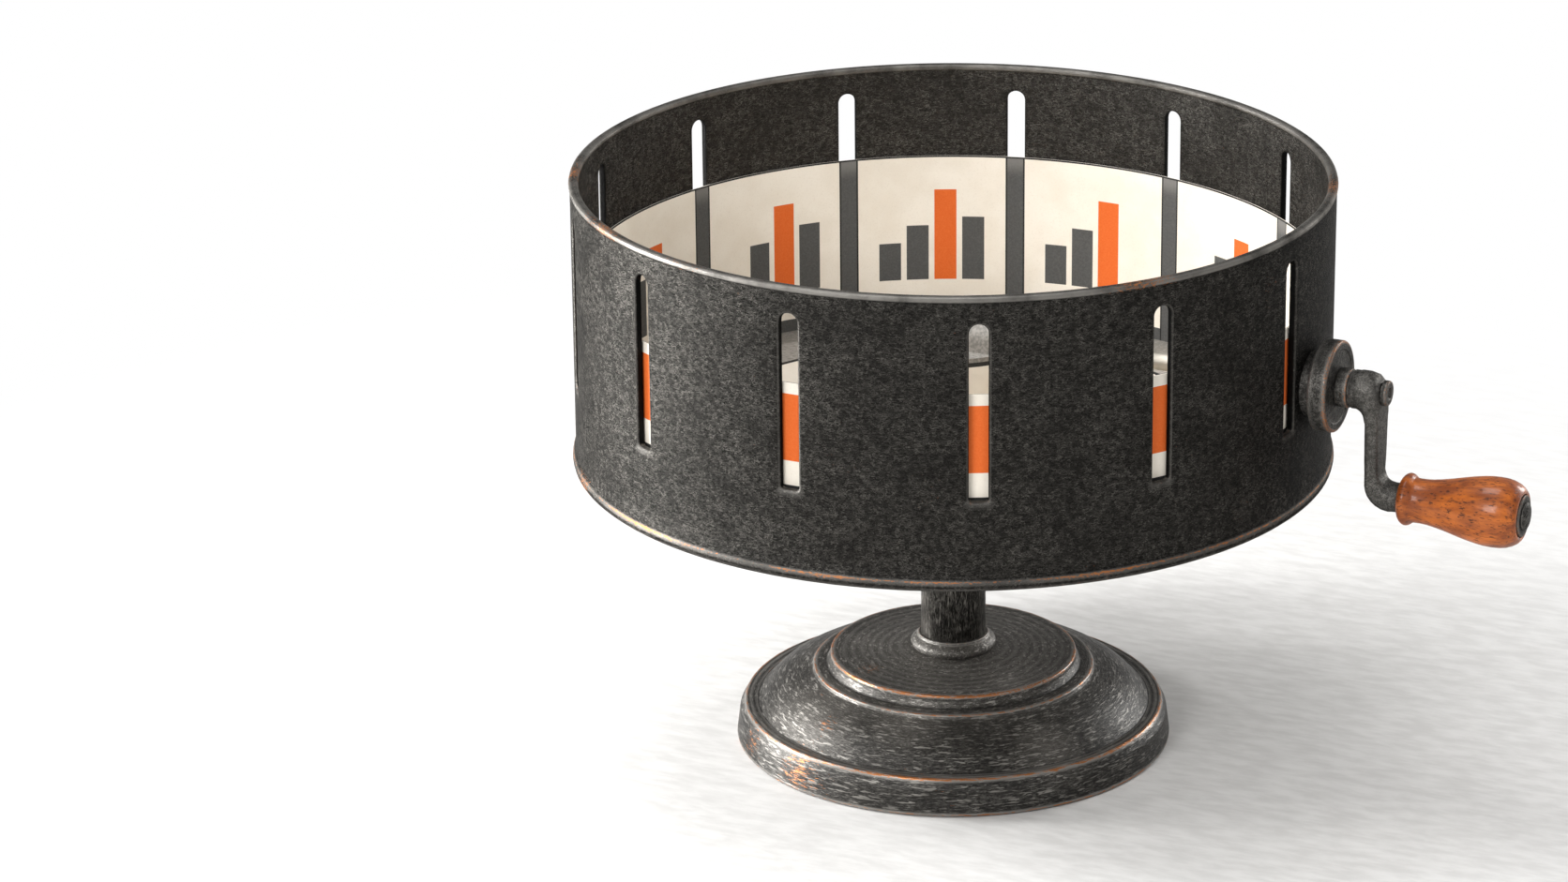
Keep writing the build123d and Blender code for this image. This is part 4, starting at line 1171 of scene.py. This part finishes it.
@dataclass
class SlottedDrum:
    """Drum wall made from one sector round a slot, and the pieces fixed to the wall.

    Args:
        radius, wall: outer radius and thickness of the wall.
        foot, rim, floor_low: heights of its underside, of its rim and of the floor's underside.
        bead_h, bead_proud: height of the bead at the foot, and how far it stands out.
        rim_h, rim_proud: height of the rolled rim, and how far it stands out.
        lip: width of the lip under the floor.
        slots, slot_w: number of slots and their width.
        slot_low, slot_high, corner: foot and top of the slots, and radius of their lower corners.
        first: angle of the first slot, in degrees.
        columns, rows: runs across and up a sector.
    """

    radius: float = 150.0
    wall: float = 3.0
    foot: float = 121.2
    rim: float = 237.3
    floor_low: float = 123.5
    bead_h: float = 5.6
    bead_proud: float = 1.3
    rim_h: float = 2.6
    rim_proud: float = 0.45
    lip: float = 6.0
    slots: int = 13
    slot_w: float = 7.5
    slot_low: float = 156.5
    slot_high: float = 226.5
    corner: float = 1.6
    first: float = -8.0
    columns: int = 12
    rows: int = 22

    def outline(self, grow: float) -> list[Place]:
        """Outline of a slot, round at the top and square at the foot.

        Args:
            grow: how much it is grown.

        Returns:
            Places across and up, clockwise seen from outside, from the left of the round top.
        """
        half = self.slot_w / 2 + grow
        spring = self.slot_high - self.slot_w / 2
        low = self.slot_low - grow
        corner = min(self.corner + grow / 2, half - 0.3)
        straight = self.rows - 4
        turns = [math.pi * (1 - k / self.columns) for k in range(self.columns + 1)]
        top = [(half * math.cos(turn), spring + half * math.sin(turn)) for turn in turns]
        side = [(half, spring + (low + corner - spring) * k / straight) for k in range(1, straight + 1)]
        for turn in (math.pi / 8, math.pi / 4, math.pi * 3 / 8):
            side.append((half - corner * (1 - math.cos(turn)), low + corner * (1 - math.sin(turn))))
        foot = [((half - corner) * (1 - 2 * k / self.columns), low) for k in range(self.columns + 1)]
        return [*top, *side, *foot, *((-s, z) for s, z in reversed(side))]

    def frame(self, low: float, high: float) -> list[Place]:
        """Edge of a sector in step with a slot's outline.

        Args:
            low: its foot.
            high: its top.

        Returns:
            Angles in radians and heights.
        """
        half = math.pi / self.slots
        turns = [half * (2 * k / self.columns - 1) for k in range(self.columns + 1)]
        side = [(half, high + (low - high) * k / self.rows) for k in range(1, self.rows)]
        top, foot = [(turn, high) for turn in turns], [(-turn, low) for turn in turns]
        return [*top, *side, *foot, *((-turn, z) for turn, z in reversed(side))]

    def sector(self) -> Object:
        """Build one sector of the wall, centred on the first slot's direction.

        Returns:
            The open mesh of the sector, turned to +X.
        """
        net = Net()
        out, inner = self.radius, self.radius - self.wall
        top, bead_top = self.rim - self.rim_h, self.foot + self.bead_h
        outer_frame = self.frame(bead_top, top)

        def ring(places: Sequence[Place], radius: float, wear_and_painted_light: float = 0.0) -> list[int]:
            """Add places, each an angle and a height, at a distance from the axis."""
            return net.row([(radius * math.cos(turn), radius * math.sin(turn), z) for turn, z in places], wear_and_painted_light)

        def slot(grow: float, radius: float) -> list[Place]:
            """Angles and heights of a slot's outline, grown, on a face of the wall."""
            return [(math.asin(s / radius), z) for s, z in self.outline(grow)]

        def face(near: Sequence[Place], edge: Sequence[Place], radius: float, shares: Sequence[float]) -> None:
            """Add rings at some shares of the way from near a slot to the sector's edge."""
            for share in shares:
                places = [(a + (c - a) * share, b + (d - b) * share) for (a, b), (c, d) in zip(near, edge)]
                rings.append(ring(places, radius))

        rings: list[list[int]] = []
        face(slot(3.0, out), outer_frame, out, (1.0, 0.72, 0.46, 0.22, 0.0))
        # Rings down the slot: the lip's wear also paints a light edge highlight, negative wear paints shade on the
        # slot's inner faces, and the sill's wear makes its lip lighter as a painted highlight.
        for grow, radius, wear_and_painted_light, sill in (
            (0.95, out, 0.0, 0.4), (0.7, out - 0.08, 0.45, 0.6), (0.15, out - 0.45, 0.2, 0.65),
            (0.0, out - 0.8, -0.9, 0.5), (0.0, inner + 0.35, -1.0, 0.5), (0.3, inner, -0.3, 0.5),
        ):
            rings.append(ring(slot(grow, radius), radius, wear_and_painted_light))
            for k in rings[-1]:
                if net.points[k][2] < self.slot_low + 0.6 * self.corner:
                    net.wear[k] = sill
        face(slot(2.0, inner), self.frame(self.floor_low, top), inner, (0.0, 0.25, 0.5, 0.75, 1.0))
        net.stitch(rings)
        # In these bands, negative wear paints shade in the creases at the rim and the bead, and positive wear also
        # paints a light edge highlight.
        rim_band = [
            (out + 0.32, top + 0.45, -0.4), (out + self.rim_proud, top + 1.2, 0.2), (out + 0.2, top + 2.1, 0.3),
            (out - 0.5, top + 2.55, 0.1), (out - 1.0, self.rim, 0.0), (inner + 1.0, self.rim, 0.0),
            (inner + 0.5, top + 2.55, 0.1), (inner - 0.2, top + 2.1, 0.2),
            (inner - self.rim_proud, top + 1.2, 0.1), (inner - 0.32, top + 0.45, 0.0),
        ]
        proud, lip_r = self.bead_proud, inner - self.lip
        foot_band = [
            (out + 0.25 * proud, bead_top - 0.7, -0.3), (out + 0.72 * proud, bead_top - 1.7, 1.0),
            (out + 0.96 * proud, bead_top - 2.9, 0.5), (out + proud, self.foot + 1.9, -0.2),
            (out + 0.8 * proud, self.foot + 0.7, 0.5), (out + 0.3, self.foot + 0.1, 0.2),
            (out - 1.0, self.foot, 0.0), (lip_r + 0.3, self.foot, 0.0),
            (lip_r, self.foot + 0.3, 0.0), (lip_r, self.floor_low, 0.0),
        ]
        count = self.columns + 1
        for band, at in ((rim_band, 0), (foot_band, count + self.rows - 1)):
            part = slice(at, at + count)
            lines = [ring([(turn, z) for turn, _ in outer_frame[part]], radius, wear_and_painted_light) for radius, z, wear_and_painted_light in band]
            net.stitch([rings[0][part], *lines, rings[-1][part]], closed=False)
        return net.piece("slotted_wall")

    def make(self) -> None:
        """Build and dress the drum."""
        values = {"Count": self.slots, "Start": math.radians(self.first), "Finish": SHEET.material()}
        wall = grown(self.sector(), ring_tree("sectors round the drum"), values)
        fit_out(wall, "drum", SHEET, "drum_shell")
        redress(FLOOR_SHEET, "drum_floor")
        redress(CASTING, "drum_hub", "inner_bracket")
        redress(CRANK_IRON, "crank_bearing")
        redress(CREAM, "drive_cover")
        redress(BRONZE, "hub_bush", "bracket_bush")
        redress(STEEL, "bearing_nut", "hub_screws", "bracket_screws")
        redress(CARD, "floor_card")


@dataclass
class PictureBand:
    """Printed card band that stands inside the wall, notched over the crank's bearing.

    Args:
        outer, thick: outer radius and thickness.
        low, high: heights of its foot and of its top.
        notch_z, notch_r: height and radius of the notch's round.
        around, arch: runs round the band and over the notch.
    """

    outer: float = 146.35
    thick: float = 0.6
    low: float = 126.0
    high: float = 198.0
    notch_z: float = 171.0
    notch_r: float = 10.149
    around: int = 240
    arch: int = 20

    def columns(self) -> list[tuple[float, float, bool]]:
        """Places round the band.

        Returns:
            Angle, height of the notch's edge or middle, and whether the wall goes down to the foot after it.
        """
        made = []
        for k in range(self.arch):
            side = math.pi * (k / self.arch - 0.5)
            turn = math.asin(self.notch_r * math.sin(side) / self.outer)
            made.append((turn, self.notch_z + self.notch_r * math.cos(side), False))
        edge = math.asin(self.notch_r / self.outer)
        rest = TURN - 2 * edge
        return made + [(edge + rest * k / self.around, self.notch_z, True) for k in range(self.around)]

    def make(self) -> None:
        """Build and dress the band."""
        places = self.columns()
        net = Net()
        for radius in (self.outer, self.outer - self.thick):
            for turn, middle, _ in places:
                x, y = radius * math.cos(turn), radius * math.sin(turn)
                net.row([(x, y, self.low), (x, y, middle), (x, y, self.high)])
        layer = 3 * len(places)
        faces = []
        for k, (_, _, solid) in enumerate(places):
            a, b = 3 * k, 3 * ((k + 1) % len(places))
            foot = 0 if solid else 1
            for row in range(foot, 2):
                faces.append([a + row, b + row, b + row + 1, a + row + 1])
                faces.append([layer + a + row + 1, layer + b + row + 1, layer + b + row, layer + a + row])
            faces += [[a + row, b + row, layer + b + row, layer + a + row] for row in (2, foot)]
        faces += [[side, side + 1, layer + side + 1, layer + side] for side in (3 * self.arch, 0)]
        used = sorted({v for face in faces for v in face})
        number = {v: i for i, v in enumerate(used)}
        net.faces = [[number[v] for v in face] for face in faces]
        net.points, net.wear = [net.points[v] for v in used], [0.0] * len(used)
        fit_out(net.piece("picture_band"), "strip", PRINT, "picture_strip")


@dataclass
class Crank:
    """Plate, neck, cranked arm and end screw outside the drum.

    Args:
        axle_z, grip_z: heights of the shaft and of the grip's axis.
        plate_x, plate_t, plate_r: back, thickness and radius of the plate.
        neck_x, neck_l, neck_r: back, length and radius of the neck.
        tube_x, tube_r: start and radius of the arm's round hub.
        in_x, out_x: inner and outer face of the bar.
        elbow_x, end_x, foot_r: end of the elbow, and end and radius of the tube that takes the grip.
        bore: radius of the bore for the shaft.
        inner, top_round, heel_round: radii inside the bends, over the top one and under the heel.
        shoulder: how far the bar stands out from hub and tube.
        edge: radius of the bar's edges.
        sides, steps: runs round a corner of the section and round a bend.
        haste: how fast the section changes along a bend.
    """

    axle_z: float = 171.0
    grip_z: float = 129.0
    plate_x: float = 154.1
    plate_t: float = 7.4
    plate_r: float = 18.0
    neck_x: float = 161.5
    neck_l: float = 4.9
    neck_r: float = 7.7
    tube_x: float = 167.2
    tube_r: float = 7.6
    in_x: float = 173.9
    out_x: float = 179.5
    elbow_x: float = 184.5
    end_x: float = 187.9
    foot_r: float = 5.8
    bore: float = 3.55
    inner: float = 3.6
    top_round: float = 7.0
    heel_round: float = 10.5
    shoulder: float = 0.25
    edge: float = 2.0
    sides: int = 10
    steps: int = 9
    haste: float = 1.4

    def plate(self) -> Object:
        """Turn the round plate.

        Returns:
            The piece.
        """
        back, front = self.plate_x, self.plate_x + self.plate_t
        outline = [
            (self.bore, back), (self.plate_r, back, 1.0, 0.7), (self.plate_r, front, 1.1, 0.9),
            (self.plate_r - 3.2, front, 0.4), (self.plate_r - 3.8, front - 0.45, 0.4, 0.2),
            (self.neck_r + 1.5, front - 0.2, 0.6), (self.neck_r - 0.4, front, 0.2), (self.bore, front),
        ]
        return turned("crank_disc", outline, Spindle.ACROSS, self.axle_z, around=112)

    def neck(self) -> Object:
        """Turn the neck with its groove.

        Returns:
            The piece.
        """
        back, front, groove = self.neck_x, self.neck_x + self.neck_l, self.neck_r - 1.0
        outline = [
            (self.bore, back), (self.neck_r, back, 0.6, 0.2), (self.neck_r, front, 0.7, 0.8),
            (groove, front + 0.1, 0.1), (groove, self.tube_x), (self.bore, self.tube_x),
        ]
        return turned("crank_collar", outline, Spindle.ACROSS, self.axle_z, around=80)

    def section(self, high: Vector, low: Vector, half: float, corner: float, cap: bool = True) -> list[Point]:
        """Rounded section of the arm between two places of its side view.

        Args:
            high: first place, across x and z.
            low: second place.
            half: half its width.
            corner: radius of its corners.
            cap: whether the front view's outline limits the width.

        Returns:
            The section's points.
        """
        deep = (low - high).length
        corner = min(corner, deep / 2 - 0.01, half - 0.01)
        made = []
        for cx, cy, start in ((1, 1, 0.0), (-1, 1, 0.5), (-1, -1, 1.0), (1, -1, 1.5)):
            for k in range(self.sides + 1):
                turn = math.pi * (start + 0.5 * k / self.sides)
                u = cx * (deep / 2 - corner) + corner * math.cos(turn)
                v = cy * (half - corner) + corner * math.sin(turn)
                place = high.lerp(low, 0.5 + u / deep)
                limit = self.front_half(place.y) if cap else half
                made.append((place.x, max(-limit, min(limit, v)), place.y))
        return made

    def front_half(self, z: float) -> float:
        """Half the arm's width at a height in its front view.

        Args:
            z: the height.

        Returns:
            Half the width.
        """
        top, foot = self.tube_r + self.shoulder, self.foot_r + self.shoulder
        if z > self.axle_z:
            return math.sqrt(max(top * top - (z - self.axle_z) ** 2, 0.01))
        if z < self.grip_z:
            return math.sqrt(max(foot * foot - (z - self.grip_z) ** 2, 0.01))
        return foot + (top - foot) * (z - self.grip_z) / (self.axle_z - self.grip_z)

    def beyond(self, pivot: Vector, aim: Vector, walls: Place, round_at: float, sign: int) -> Vector:
        """Where a ray from a bend's pivot meets the outer outline of the side view.

        Args:
            pivot: centre of the bend.
            aim: direction of the ray.
            walls: x of the upright outer wall and z of the level one.
            round_at: radius of the outer corner.
            sign: 1 for the top corner, -1 for the heel.

        Returns:
            The place.
        """
        centre = Vector(walls) - Vector((1, 1)) * sign * round_at
        reach = [(wall - start) / way for wall, start, way in zip(walls, pivot, aim) if abs(way) > 1e-6]
        place = pivot + aim * min(r for r in reach if r > 0)
        if sign * (place.x - centre.x) > 0 and sign * (place.y - centre.y) > 0:
            off = pivot - centre
            b = off.dot(aim)
            place = pivot + aim * (-b + math.sqrt(b * b - off.length_squared + round_at ** 2))
        return place

    def arm(self) -> Object:
        """Loft the cranked arm, from its round hub through the flat bar to the tube.

        Returns:
            The piece.
        """
        net = Net()
        rows: list[list[int]] = []

        def tube(x: float, z: float, radius: float, wear_and_painted_light: float) -> None:
            """Add a round section."""
            ends = Vector((x, z + radius)), Vector((x, z - radius))
            rows.append(net.row(self.section(*ends, radius, radius, cap=False), wear_and_painted_light))

        for x, short, wear_and_painted_light in ((self.tube_x, 0.5, 0.7), (self.tube_x + 0.5, 0.0, 0.4),
                               (self.in_x - self.inner - 0.8, 0.0, 0.0)):
            tube(x, self.axle_z, self.tube_r - short, wear_and_painted_light)
        reach = self.inner + self.shoulder
        pivot = Vector((self.in_x - self.inner, self.axle_z - self.tube_r - reach))
        walls = (self.out_x, self.axle_z + self.tube_r + self.shoulder)
        for k in range(self.steps + 1):
            share = k / self.steps
            turn = math.pi / 2 * (1 - share)
            aim = Vector((math.cos(turn), math.sin(turn)))
            far = self.beyond(pivot, aim, walls, self.top_round, 1)
            corner = self.tube_r + (self.edge - self.tube_r) * min(1.0, share * self.haste)
            half = self.tube_r + 0.2 if k < self.steps else self.front_half(pivot.y)
            rows.append(net.row(self.section(far, pivot + aim * self.inner, half, corner), 0.25))
        foot_pivot = Vector((self.out_x + self.inner, self.grip_z + self.foot_r + reach))
        for share in (0.25, 0.5, 0.75):
            z = pivot.y + (foot_pivot.y - pivot.y) * share
            ends = Vector((self.out_x, z)), Vector((self.in_x, z))
            rows.append(net.row(self.section(*ends, self.front_half(z), self.edge), 0.3))
        walls = (self.in_x, self.grip_z - self.foot_r - self.shoulder)
        for k in range(self.steps + 1):
            share = k / self.steps
            turn = math.pi + math.pi / 2 * share
            aim = Vector((math.cos(turn), math.sin(turn)))
            far = self.beyond(foot_pivot, aim, walls, self.heel_round, -1)
            corner = self.edge + (self.foot_r - self.edge) * max(0.0, share * self.haste - 0.4)
            near = foot_pivot + aim * self.inner
            rows.append(net.row(self.section(near, far, self.foot_r + self.shoulder, corner), 0.25))
        for x, short, wear_and_painted_light in ((self.elbow_x + 0.3, 0.0, 0.2), (self.end_x - 0.4, 0.0, 0.2),
                               (self.end_x, 0.4, 0.6)):
            tube(x, self.grip_z, self.foot_r - short, wear_and_painted_light)
        net.stitch(rows)
        net.faces += [rows[0], rows[-1]]
        return net.piece("cranked_arm", sharp=50.0)

    def end_screw(self) -> Object:
        """Turn the screw head on the end of the shaft.

        Returns:
            The piece.
        """
        x, head, stem, deep = self.out_x, 5.0, 1.6, 8.0
        outline = [
            (0.0, x + 1.7), (1.9, x + 1.7, 0.2), (2.5, x + 2.35, 0.3, 0.7), (head, x + 2.4, 0.9, 0.9),
            (head, x, 0.1), (stem, x, 0.1), (stem, x - deep, 0.2), (0.0, x - deep),
        ]
        return turned("axle_screw", outline, Spindle.ACROSS, self.axle_z, around=56, loop=False)

    def make(self) -> None:
        """Build and dress the crank."""
        fit_out(self.plate(), "crank", CRANK_IRON, "crank_plate")
        fit_out(self.neck(), "crank", CRANK_IRON, "crank_neck")
        fit_out(self.arm(), "crank", CRANK_IRON, "crank_arm")
        fit_out(self.end_screw(), "crank", CRANK_IRON, "axle_end_screw")
        redress(DULL_STEEL, "crank_shaft")
        redress(STEEL, "bevel_pinion", "pinion_pin", "shaft_collar", "collar_screw", "grip_pin")


@dataclass
class Grip:
    """Turned wooden grip, with its washer and cap.

    Args:
        start, length: end of the grip at the arm, and its length.
        axis_z: height of its axis.
        bore: radius of its bore.
        swell: radius of its long swell by the distance from the start.
    """

    start: float = 188.2
    length: float = 48.6
    axis_z: float = 129.0
    bore: float = 4.1
    swell: Sequence[Place] = (
        (8.75, 5.3), (8.65, 6.8), (8.67, 8.4), (8.9, 11.5), (9.5, 15.0), (10.35, 19.0), (11.4, 23.2),
        (12.4, 27.5), (13.2, 31.8), (13.6, 35.0), (13.7, 38.0), (13.55, 41.0), (13.1, 43.4), (12.3, 45.5),
        (11.2, 47.3), (9.95, 48.45),
    )

    def handle(self) -> Object:
        """Turn the wooden grip.

        Returns:
            The piece.
        """
        s, e = self.start, self.start + self.length
        sink = e - 1.2
        outline = [
            (self.bore, s), (8.6, s, 0.3),
            *bulge(((8.6, s), (10.25, s + 2.3), (9.0, s + 4.9))), (9.0, s + 4.9, 0.1),
            *((across, s + along) for across, along in self.swell),
            (9.3, e, 0.3, 0.5), (8.62, e - 0.1, 0.1), (8.6, sink), (self.bore, sink),
        ]
        return turned("grip_wood", outline, Spindle.ACROSS, self.axis_z)

    def washer(self) -> Object:
        """Turn the end washer.

        Returns:
            The piece.
        """
        radius, x, thick = 8.2, self.start + self.length - 0.9, 1.5
        outline = [(0.0, x), (radius, x, 0.1), (radius, x + thick, 0.5, 0.9), (0.0, x + thick)]
        return turned("grip_washer", outline, Spindle.ACROSS, self.axis_z, around=72, loop=False)

    def cap(self) -> Object:
        """Turn the domed end cap.

        Returns:
            The piece.
        """
        radius, x = 5.5, self.start + self.length + 0.6
        dome = [(5.4, x + 0.7), (4.7, x + 1.25), (3.4, x + 1.6), (1.7, x + 1.77)]
        outline = [(0.0, x), (radius, x, 0.1), (radius, x + 0.35, 0.0, 0.8), *dome, (0.0, x + 1.8)]
        return turned("grip_cap", outline, Spindle.ACROSS, self.axis_z, around=56, loop=False)

    def make(self) -> None:
        """Build and dress the grip."""
        fit_out(self.handle(), "grip", WOOD, "wood_grip")
        fit_out(self.washer(), "crank", CRANK_IRON, "end_washer")
        fit_out(self.cap(), "crank", CRANK_IRON, "end_cap")


# --- Studio ---


@dataclass
class Studio:
    """Camera, floor and light.

    Args:
        distance: from the aim point to the camera, in metres.
        azimuth, elevation: direction of the camera and its height above level, in degrees.
        aim: the point that it looks at.
        lens, shift: focal length in millimetres on a 36 mm sensor, and shift of the frame.
        ambient, dimmed: strength of the light all round, and how much less of it a reflection sees.
        spread: half the floor's width in metres.
        lamps: name, place in metres, width and height in metres, and power in watts of each lamp.
    """

    distance: float = 2.2
    azimuth: float = 23.0
    elevation: float = 20.67
    aim: Point = (0.0, 0.0, 0.12)
    lens: float = 126.66
    shift: Place = (-0.108, 0.0075)
    ambient: float = 0.50
    dimmed: float = 0.20
    spread: float = 3.0
    lamps: Sequence[tuple[str, Point, Place, float]] = (
        ("streak", (-1.06, -0.42, 0.10), (0.18, 0.20), 22.0),
        ("left", (-1.7, -0.25, 0.62), (0.40, 1.0), 27.0),
        ("side", (-1.66, -0.70, 1.8), (0.6, 0.6), 40.0),
        ("key", (-0.2, -2.1, 1.3), (0.9, 0.9), 30.0),
        ("fill", (1.6, -1.0, 0.8), (0.9, 0.9), 3.0),
        ("back", (0.9, 1.7, 0.6), (0.5, 1.0), 24.0),
        ("top", (-0.3, 0.0, 2.2), (0.8, 0.8), 16.0),
    )

    def camera(self) -> None:
        """Place the camera."""
        data = bpy.data.cameras.new("view")
        data.lens, data.sensor_width = self.lens, 36.0
        data.shift_x, data.shift_y = self.shift
        data.clip_start, data.clip_end = 0.05, 20.0
        a, e = math.radians(self.azimuth), math.radians(self.elevation)
        back = Vector((math.sin(a) * math.cos(e), -math.cos(a) * math.cos(e), math.sin(e)))
        bpy.context.scene.camera = self.facing(data, Vector(self.aim) + back * self.distance)

    def facing(self, data: bpy.types.ID, place: Vector) -> Object:
        """Put a camera or lamp in its place, turned to the aim point.

        Args:
            data: the camera or lamp.
            place: its place in metres.

        Returns:
            The object.
        """
        holder = linked(data.name, data)
        holder.location = place
        holder.rotation_euler = (Vector(self.aim) - place).to_track_quat("-Z", "Y").to_euler()
        return holder

    def lights(self) -> None:
        """Add the soft lamps, each facing the drum."""
        for name, place, size, power in self.lamps:
            data = bpy.data.lights.new(name, "AREA")
            data.shape, data.energy = "RECTANGLE", power
            data.size, data.size_y = size
            self.facing(data, Vector(place))

    def world(self) -> None:
        """Plain light all round, and white where the camera or a reflection sees past the floor."""
        world = bpy.data.worlds.new("studio")
        world.use_nodes = True
        world.node_tree.nodes.clear()
        w = Weave(world.node_tree)
        path = w.add("ShaderNodeLightPath").outputs
        seen = w.most(path["Is Camera Ray"], path["Is Transmission Ray"])
        strength = w.most(seen, w.plus(self.ambient, w.times(path["Is Glossy Ray"], -self.dimmed)))
        shade = w.put(w.add("ShaderNodeBackground"), {"Color": (1.0, 1.0, 1.0), "Strength": strength})
        w.add("ShaderNodeOutputWorld", shade.outputs[0])
        bpy.context.scene.world = world

    def floor(self) -> None:
        """Pale floor that fades to white away from the object."""
        mesh = bpy.data.meshes.new("floor")
        r = self.spread
        mesh.from_pydata([(-r, -r, 0), (r, -r, 0), (r, r, 0), (-r, r, 0)], [], [(0, 1, 2, 3)])
        paint = bpy.data.materials.new("floor")
        paint.use_nodes = True
        paint.node_tree.nodes.clear()
        w = Weave(paint.node_tree)
        where = w.add("ShaderNodeTexCoord").outputs["Object"]
        grain = w.ramp(w.noise(w.stretched(where, (1.0, 3.0, 1.0)), 60.0, 4.0, 0.6), 0.3, 0.7)
        shader = w.add("ShaderNodeBsdfDiffuse", w.mix(grain, (0.55, 0.542, 0.53), (0.64, 0.633, 0.62)))
        glow = w.add("ShaderNodeEmission", (1.0, 1.0, 1.0))
        lift = w.ramp(w.vector("LENGTH", where).outputs["Value"], 0.20, 0.60)
        fade = w.times(lift, w.add("ShaderNodeLightPath").outputs["Is Camera Ray"])
        blend = w.add("ShaderNodeMixShader", fade, shader.outputs[0], glow.outputs[0])
        w.add("ShaderNodeOutputMaterial", blend.outputs[0])
        mesh.materials.append(paint)
        linked("floor", mesh)

    def make(self) -> None:
        """Set up the studio."""
        self.camera()
        self.world()
        self.floor()
        self.lights()
        bpy.context.scene.view_settings.view_transform = "Standard"


def main() -> None:
    """Build the zoetrope's looks."""
    logging.basicConfig(level=logging.INFO, format="%(message)s")
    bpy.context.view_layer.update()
    for part in (Stand(), SlottedDrum(), PictureBand(), Crank(), Grip(), Studio()):
        part.make()


if __name__ == "__main__":
    main()
